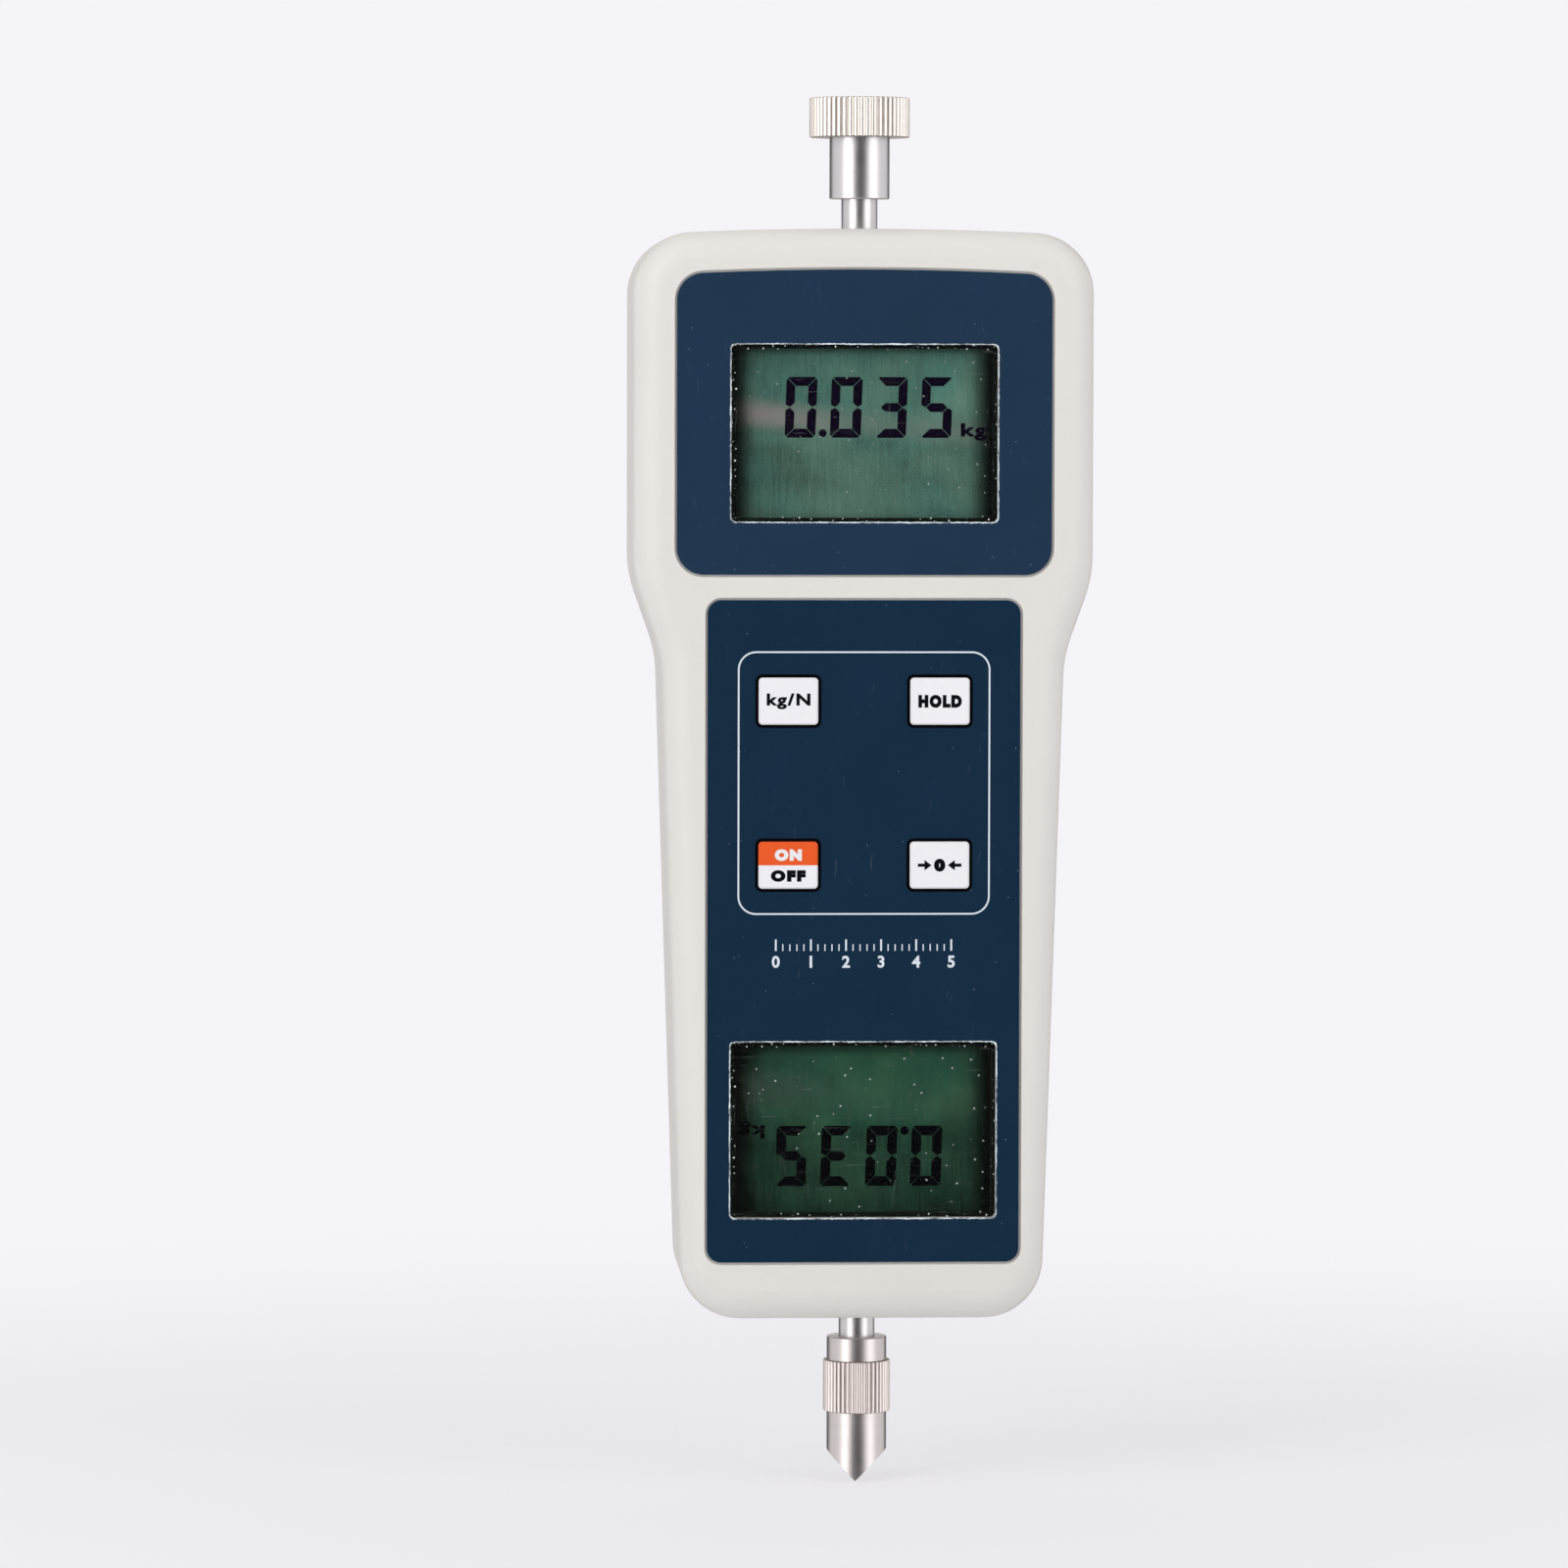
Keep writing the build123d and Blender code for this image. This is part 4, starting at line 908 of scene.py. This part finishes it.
class GAUGE_OT_make_metal(bpy.types.Operator):
    """Turn the spindle's ends: flat head and chisel tip with knurled bands"""
    bl_idname = "gauge.make_metal"
    bl_label = "Spindle, flat head and tip"

    def execute(self, context):
        look = context.scene.gauge_metal
        polished = turned_steel("Polished steel", look.steel, 0.22)
        brushed = turned_steel("Brushed steel", look.tip, 0.24)
        cover("spindle", polished)
        knurl = knurl_tree()
        self.flat_head(look, knurl, polished)
        self.chisel_tip(look, knurl, brushed)
        return {"FINISHED"}

    def ridges(self, mesh, look, knurl, material, count, radius, low, height):
        data = knurl.mesh("ridges", Count=count, Radius=radius, Depth=look.ridge_depth, Low=low,
                          Length=height, Taper=look.rim, Material=material)
        data.transform(Matrix.Diagonal((1 / MM, 1 / MM, 1 / MM, 1)))
        mesh.from_mesh(data)
        bpy.data.meshes.remove(data)

    def crests(self, piece, look, name, shade, radius, low):
        """Gives the faces outside the collar and above a height the knurled finish."""
        piece.data.materials.append(knurled_steel(name, shade, radius, look.ridge_depth / MM))
        for face in piece.data.polygons:
            reach = math.hypot(face.center.x, face.center.y - AXIS_Y) / MM
            face.material_index = int(face.center.z / MM > low and reach > look.collar / 2 / MM + 0.1)

    def sizes(self, look, low, high):
        """Ends of a turned piece, then its radii: outside, foot of the knurl, collar and bore."""
        radius = (high.x - low.x) / 2 / MM
        return (low.z / MM, high.z / MM, radius, radius - look.ridge_depth / MM, look.collar / 2 / MM,
                look.bore / 2 / MM)

    def flat_head(self, look, knurl, steel):
        bottom, top, radius, root, collar, bore = self.sizes(look, *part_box("flat_head"))
        disc = top - look.disc_height / MM
        deep, edge = bottom + look.head_bore / MM, TURNED_EDGE
        mesh = bmesh.new()
        lathe(mesh, ((0, deep), (bore, deep), (bore, bottom), (collar - edge, bottom),
                     (collar, bottom + edge), (collar, disc), (root - edge, disc), (root, disc + edge),
                     (root, top - 2 * edge), (root - 2 * edge, top), (0, top)))
        self.ridges(mesh, look, knurl, steel, look.disc_ridges, radius * MM, disc * MM, look.disc_height)
        piece = finished("flat_head_turned", mesh, steel, "flat_head_unit", 32, ("flat_head",))
        self.crests(piece, look, "Knurled head", look.head_knurl_steel, radius, disc)

    def chisel_tip(self, look, knurl, steel):
        tip, top, radius, root, collar, bore = self.sizes(look, *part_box("chisel_tip"))
        knurl_top = top - look.tip_collar / MM
        shank = knurl_top - look.tip_knurl / MM
        deep, edge = top - look.head_bore / MM, TURNED_EDGE
        mesh = bmesh.new()
        lathe(mesh, ((0, tip - 1), (collar, tip - 1), (collar, shank), (root - edge, shank),
                     (root, shank + edge), (root, knurl_top - edge), (root - edge, knurl_top),
                     (collar, knurl_top), (collar, top - edge), (collar - edge, top), (bore, top),
                     (bore, deep), (0, deep)))
        for side in (-1, 1):
            facing = Matrix.Rotation(look.edge_turn, 3, "Z") @ Vector((side, 0, -1))
            everything = mesh.verts[:] + mesh.edges[:] + mesh.faces[:]
            cut = bmesh.ops.bisect_plane(mesh, geom=everything, plane_co=(0, AXIS_Y / MM, tip),
                                         plane_no=facing, clear_outer=True)["geom_cut"]
            bmesh.ops.holes_fill(mesh, edges=[e for e in cut if isinstance(e, bmesh.types.BMEdge)], sides=0)
        self.ridges(mesh, look, knurl, steel, look.tip_ridges, radius * MM, shank * MM, look.tip_knurl)
        piece = finished("chisel_tip_turned", mesh, steel, "chisel_unit", 32, ("chisel_tip",))
        self.crests(piece, look, "Knurled tip", look.tip_knurl_steel, radius, shank)


class GAUGE_OT_make_displays(bpy.types.Operator):
    """Make the displays: glass, digits, windows, film edges and chips"""
    bl_idname = "gauge.make_displays"
    bl_label = "Displays"

    def execute(self, context):
        look = context.scene.gauge_display
        ink = {"upper": screen_ink("Segment ink", look.ink, 0.5, gloss=0.02),
               "lower": screen_ink("Lower segment ink", look.lower_ink, 0.5, gloss=0.02)}
        core = cut_edge("Film core")
        chips = screen_ink("Film chips", (0.74, 0.80, 0.79), 0.6, 0.4)
        scatter = fleck_tree()
        shades = {"upper": look.upper, "lower": look.lower}
        for name, turned in (("upper", False), ("lower", True)):
            centre = middle(name + "_lens")
            glass = liquid_crystal(name.title() + " display", shades[name], look.glare, centre,
                                   **DISPLAYS[name])
            cover(name + "_display_glass", glass)
            cover(name + "_lens", clear_window(name.title() + " window", centre, WINDOW_DUST[name]))
            self.digits(look, name, centre, turned, ink[name])
            self.edge(look, name, centre, core, scatter, chips)
        return {"FINISHED"}

    def digits(self, look, name, centre, turned, ink):
        mesh = bmesh.new()
        x = (look.lower_first_x if turned else look.first_x) / MM
        width, pitch = look.digit_width / MM, look.digit_pitch / MM
        stroke = (look.lower_stroke if turned else look.stroke) / MM
        lean = math.tan(look.slant)
        flip = -1 if turned else 1
        base = (look.lower_base_z if turned else look.base_z) / MM

        def add(points):
            outline = [(flip * (px + lean * pz), flip * (pz + base)) for px, pz in points]
            front = GLASS_Y / MM - 0.03
            prism(mesh, [(centre.x / MM + px, centre.z / MM + pz) for px, pz in outline], front + 0.02,
                  front)

        for mark in look.reading:
            if mark == ".":
                add(rounded_loop(0.9 * stroke, 0.9 * stroke, 0.45 * stroke, x - (pitch - width) / 2,
                                 stroke / 2, 3))
                continue
            for segment in segments(mark, width, look.digit_height / MM, stroke, look.gap / MM):
                add([(x + px, pz) for px, pz in segment])
            x += pitch
        finished(name + "_digits", mesh, ink)
        lettering(name + "_unit_mark", "kg", look.unit_tall, look.unit_wide, centre.x + flip * look.unit_x,
                  centre.z + flip * look.unit_z, GLASS_Y - 0.01 * MM, ink, heavy=0.038, turned=turned)

    def edge(self, look, name, centre, core, scatter, chips):
        low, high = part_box(name + "_lens")
        width, height = (high.x - low.x) / MM + FILM_CLEAR, (high.z - low.z) / MM + FILM_CLEAR
        x, z = centre.x / MM, centre.z / MM
        mesh = bmesh.new()
        front = LABEL_Y / MM - 0.01
        loop = frayed(rounded_loop(width, height, FILM_CORNER, x, z), FILM_STEP, FILM_FRAY, look.seed)
        chance = random.Random(look.seed + 1)
        outer, inner = [], []
        for px, pz in loop:
            for side, reach in ((outer, FILM_OUT), (inner, FILM_IN)):
                wide = reach + chance.uniform(-FILM_VARY, FILM_VARY)
                side.append((px + 2 * wide * (px - x) / width, pz + 2 * wide * (pz - z) / height))
        band(mesh, outer, inner, front + 0.02, front)
        finished(name + "_window_edge", mesh, core)
        data = scatter.mesh(name + "_film_chips", Count=look.flecks, Width=(width - CHIP_INSET_X) * MM,
                            Height=(height - CHIP_INSET_Z) * MM, Spread=CHIP_SCATTER * MM,
                            Size=CHIP_SIZE * MM, Seed=look.seed, Material=chips,
                            Place=(centre.x, LENS_Y - 0.01 * MM, centre.z))
        placed(name + "_film_chips", data, chips)


def segments(mark, width, height, stroke, gap):
    """Outlines of the segments that are on in one digit."""
    lit = {"0": "abcdef", "1": "bc", "2": "abged", "3": "abgcd", "4": "fgbc", "5": "afgcd", "6": "afgedc",
           "7": "abc", "8": "abcdefg", "9": "abcdfg"}[mark]
    cut, half, mid = 0.45, stroke / 2, height / 2
    top = [(cut, height), (width - cut, height), (width - cut / 2 - gap, height - cut / 2),
           (width - stroke - gap, height - stroke), (stroke + gap, height - stroke),
           (cut / 2 + gap, height - cut / 2)]
    side = [(0, height - cut), (cut / 2, height - cut / 2 - gap), (stroke, height - stroke - gap),
            (stroke, mid + half + gap), (half, mid + gap), (0, mid + half / 2 + gap)]
    bar = [(half + gap, mid), (stroke + gap, mid + half), (width - stroke - gap, mid + half),
           (width - half - gap, mid), (width - stroke - gap, mid - half), (stroke + gap, mid - half)]
    shapes = {"a": top, "d": [(x, height - z) for x, z in top], "f": side, "g": bar,
              "e": [(x, height - z) for x, z in side], "b": [(width - x, z) for x, z in side],
              "c": [(width - x, height - z) for x, z in side]}
    return [shapes[letter] for letter in lit]


class GAUGE_OT_print_labels(bpy.types.Operator):
    """Print the line round the keys, the key legends and the scale"""
    bl_idname = "gauge.print_labels"
    bl_label = "Print"

    def execute(self, context):
        look = context.scene.gauge_print
        ink = screen_ink("Pale print", context.scene.gauge_case.print_ink, 0.45)
        keys = {name: middle("key_" + name) for name in ("unit", "peak", "power", "zero")}
        middle_x = (keys["unit"].x + keys["zero"].x) / 2
        middle_z = (keys["unit"].z + keys["zero"].z) / 2
        self.border(look, middle_x, middle_z, ink)
        self.seals(look, keys)
        self.legends(look, keys)
        self.scale(look, middle_x, middle_z - look.border_height / 2 - look.scale_drop, ink)
        return {"FINISHED"}

    def border(self, look, x, z, ink):
        mesh = bmesh.new()
        width, height, radius = look.border_width / MM, look.border_height / MM, look.border_radius / MM
        line = look.line / MM
        front = (LABEL_Y - look.ink) / MM
        band(mesh, rounded_loop(width + line, height + line, radius + line / 2, x / MM, z / MM, 12),
             rounded_loop(width - line, height - line, radius - line / 2, x / MM, z / MM, 12),
             front + look.ink / MM, front)
        finished("key_border", mesh, ink)

    def seals(self, look, keys):
        """Black outline round each key: the seal in its gap, near-black as painted shade of that gap, and
        the edge of the film.
        """
        mesh = bmesh.new()
        width, height, line = look.key_width / MM, look.key_height / MM, look.key_outline / MM
        for place in keys.values():
            x, z = place.x / MM, place.z / MM
            band(mesh, rounded_loop(width + 2 * line, height + 2 * line, SEAL_SHADE_OUTER, x, z),
                 rounded_loop(width + SEAL_SHADE_GAP, height + SEAL_SHADE_GAP, SEAL_SHADE_INNER, x, z),
                 LABEL_Y / MM + SEAL_SHADE_DEPTH, (LABEL_Y - look.ink) / MM)
        # Near-black seal colour: painted shade in the gap round each key
        finished("key_seals", mesh, soft_black("Seal rubber", (0.002, 0.002, 0.003), 0.8, 0.02))

    def legends(self, look, keys):
        black = screen_ink("Black legend", (0.004, 0.004, 0.007), 0.5, gloss=0.03)
        white = screen_ink("White legend", (0.88, 0.88, 0.90), 0.42)
        tall, wide, weight = look.legend, look.legend_width, look.legend_weight
        for name, words, rise, height, width, shade, heavy in (
                ("unit", "kg/N", 0, 1.22 * tall, wide, black, 0.42 * weight),
                ("peak", "HOLD", 0, tall, wide, black, weight),
                ("zero", "0", 0, tall, 0.26 * wide, black, weight),
                ("power", "ON", ON_RISE, 0.9 * tall, 0.62 * wide, white, weight),
                ("power", "OFF", OFF_RISE, 0.9 * tall, 0.8 * wide, black, weight)):
            place = keys[name]
            lettering("legend_" + words.replace("/", "_"), words, height, width, place.x,
                      place.z + rise * MM, KEY_Y, shade, f"key_{name}_unit", heavy=heavy)
        mesh = bmesh.new()
        place = keys["zero"]
        front = (KEY_Y - look.ink) / MM
        far, neck, shaft = wide / MM / 2, ARROW_NECK, ARROW_SHAFT
        for side in (-1, 1):
            for outline in (((ARROW_TIP, 0), (neck, ARROW_HEAD), (neck, -ARROW_HEAD)),
                            ((neck, shaft), (far, shaft), (far, -shaft), (neck, -shaft))):
                prism(mesh, [(place.x / MM + side * px, place.z / MM + pz) for px, pz in outline],
                      front + look.ink / MM, front)
        finished("legend_arrows", mesh, black, "key_zero_unit")

    def scale(self, look, x, z, ink):
        data = scale_tree().mesh("scale_ticks", Steps=look.scale_steps, Long_Every=look.long_every,
                                 Width=look.scale_width, Short=look.short_tick, Long=look.long_tick,
                                 Thick=look.tick, Ink=look.ink, Material=ink,
                                 Place=(x, LABEL_Y - look.ink / 2, z - look.tick_drop))
        placed("scale_ticks", data, ink)
        numbers = look.scale_steps // look.long_every
        for i in range(numbers + 1):
            place = x + (i / numbers - 0.5) * look.scale_width
            lettering(f"scale_number_{i}", str(i), look.number, None, place, z - look.number_drop,
                      LABEL_Y, ink, heavy=0.03)


class GAUGE_OT_set_stage(bpy.types.Operator):
    """Set the floor, the lamps, the cards that reflections see and the camera"""
    bl_idname = "gauge.set_stage"
    bl_label = "Stage"

    def execute(self, context):
        look = context.scene.gauge_stage
        self.floor(look)
        self.world(context.scene, look)
        for card in CARDS:
            self.card(*card)
        for lamp in LAMPS:
            self.lamp(*lamp)
        self.camera(context.scene, look)
        context.scene.view_settings.view_transform = "Standard"
        return {"FINISHED"}

    def floor(self, look):
        low = cad_box[0][2]
        mesh = bmesh.new()
        bmesh.ops.create_circle(mesh, cap_ends=True, segments=96, radius=FLOOR_RADIUS)
        data = settled("floor", mesh)
        data.transform(Matrix.Translation((0, 0, low - FLOOR_DROP * MM)))
        finish = Finish("Floor card", Roughness=0.9)
        finish.set("Base Color", look.backdrop)
        finish.set("Specular IOR Level", 0.1)
        x, y, _ = finish.split(finish.node("ShaderNodeTexCoord", output="Object"))
        far = FLOOR_GLOW + (1 - FLOOR_GLOW) * (x * x + y * y).root().ease(FLOOR_NEAR, FLOOR_FAR)
        seen = finish.node("ShaderNodeLightPath", output="Is Camera Ray")
        glow = finish.node("ShaderNodeEmission", None, {"Color": look.backdrop, "Strength": 1.0})
        matte = Wire(finish, finish.shader.outputs[0])
        both = finish.node("ShaderNodeMixShader", None, {0: far * seen, 1: matte, 2: glow})
        finish.tree.links.new(both.socket, finish.tree.nodes["Material Output"].inputs["Surface"])
        data.materials.append(finish.material)
        floor = added("floor", data)
        floor.visible_glossy = False

    def card(self, name, place, half_width, shade):
        """Dark upright card that only reflections see, to give the round metal its dark lines."""
        mesh = bmesh.new()
        bmesh.ops.create_grid(mesh, x_segments=1, y_segments=1, size=1)
        data = settled(name, mesh)
        data.transform(Matrix.Translation(place) @ Matrix.Rotation(math.pi / 2, 4, "X")
                       @ Matrix.Diagonal((half_width, 1.8, 1, 1)))
        finish = Finish(name, Roughness=1.0, Specular_IOR_Level=0.0)
        finish.set("Base Color", (shade, shade, shade))
        data.materials.append(finish.material)
        card = added(name, data)
        for ray in ("camera", "diffuse", "transmission", "volume_scatter", "shadow"):
            setattr(card, "visible_" + ray, False)

    def world(self, scene, look):
        """Even grey light on everything, and the backdrop's colour for what looks straight at it."""
        world = bpy.data.worlds.new("Studio")
        scene.world = world
        world.use_nodes = True
        sky = Shading(world.node_tree)
        path = sky.node("ShaderNodeLightPath").socket.node.outputs
        seen, mirrored, through = (Wire(sky, path[kind]) for kind in ("Is Camera Ray", "Is Glossy Ray",
                                                                      "Is Transmission Ray"))
        soft = sky.node("ShaderNodeBackground", None, {"Color": (1, 1, 1), "Strength": look.ambient})
        plain = sky.node("ShaderNodeBackground", None, {"Color": look.backdrop, "Strength": 1.0})
        straight = seen.larger(mirrored).larger(through)
        both = sky.node("ShaderNodeMixShader", None, {0: straight, 1: soft, 2: plain})
        sky.tree.links.new(both.socket, sky.tree.nodes["World Output"].inputs["Surface"])

    def lamp(self, name, place, watts, width, height):
        data = bpy.data.lights.new(name, "AREA")
        data.shape = "RECTANGLE"
        data.size, data.size_y = width, height
        data.energy = watts
        lamp = added(name, data)
        lamp.visible_camera = False
        lamp.location = place
        lamp.rotation_mode = "QUATERNION"
        lamp.rotation_quaternion = (Vector((0, AXIS_Y, 0)) - Vector(place)).to_track_quat("-Z", "Y")

    def camera(self, scene, look):
        data = bpy.data.cameras.new("Camera")
        data.lens = look.lens
        data.sensor_width = 36
        camera = added("Camera", data)
        place = Vector((look.aside + look.distance * math.sin(look.around),
                        AXIS_Y - look.distance * math.cos(look.around), look.height))
        forward = Vector((math.sin(look.yaw) * math.cos(look.pitch),
                          math.cos(look.yaw) * math.cos(look.pitch), math.sin(look.pitch)))
        right = forward.cross(Vector((0, 0, 1))).normalized()
        up = right.cross(forward)
        turn = Matrix.Rotation(-look.roll, 3, forward)
        axes = Matrix((turn @ right, turn @ up, -forward)).transposed()
        camera.matrix_world = Matrix.Translation(place) @ axes.to_4x4()
        scene.camera = camera


# Panel and registration
STEPS = (GAUGE_OT_dress_case, GAUGE_OT_dress_inside, GAUGE_OT_make_metal, GAUGE_OT_make_displays,
         GAUGE_OT_print_labels, GAUGE_OT_set_stage)
LOOKS = {"gauge_case": CaseLook, "gauge_print": PrintLook, "gauge_display": DisplayLook,
         "gauge_metal": MetalLook, "gauge_stage": StageLook}


class GAUGE_PT_panel(bpy.types.Panel):
    """Lists the steps that dress the gauge"""
    bl_label = "Force gauge"
    bl_idname = "GAUGE_PT_panel"
    bl_space_type = "VIEW_3D"
    bl_region_type = "UI"
    bl_category = "Force gauge"

    def draw(self, context):
        for step in STEPS:
            self.layout.operator(step.bl_idname)
        for name, look in LOOKS.items():
            box = self.layout.box()
            for key in look.__annotations__:
                box.prop(getattr(context.scene, name), key)


def register():
    for made in (*LOOKS.values(), *STEPS, GAUGE_PT_panel):
        bpy.utils.register_class(made)
    for name, look in LOOKS.items():
        setattr(bpy.types.Scene, name, PointerProperty(type=look))


def unregister():
    for name in LOOKS:
        delattr(bpy.types.Scene, name)
    for made in reversed((*LOOKS.values(), *STEPS, GAUGE_PT_panel)):
        bpy.utils.unregister_class(made)


def main():
    register()
    for step in STEPS:
        getattr(bpy.ops.gauge, step.bl_idname.split(".")[1])()
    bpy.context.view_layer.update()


if __name__ == "__main__":
    main()
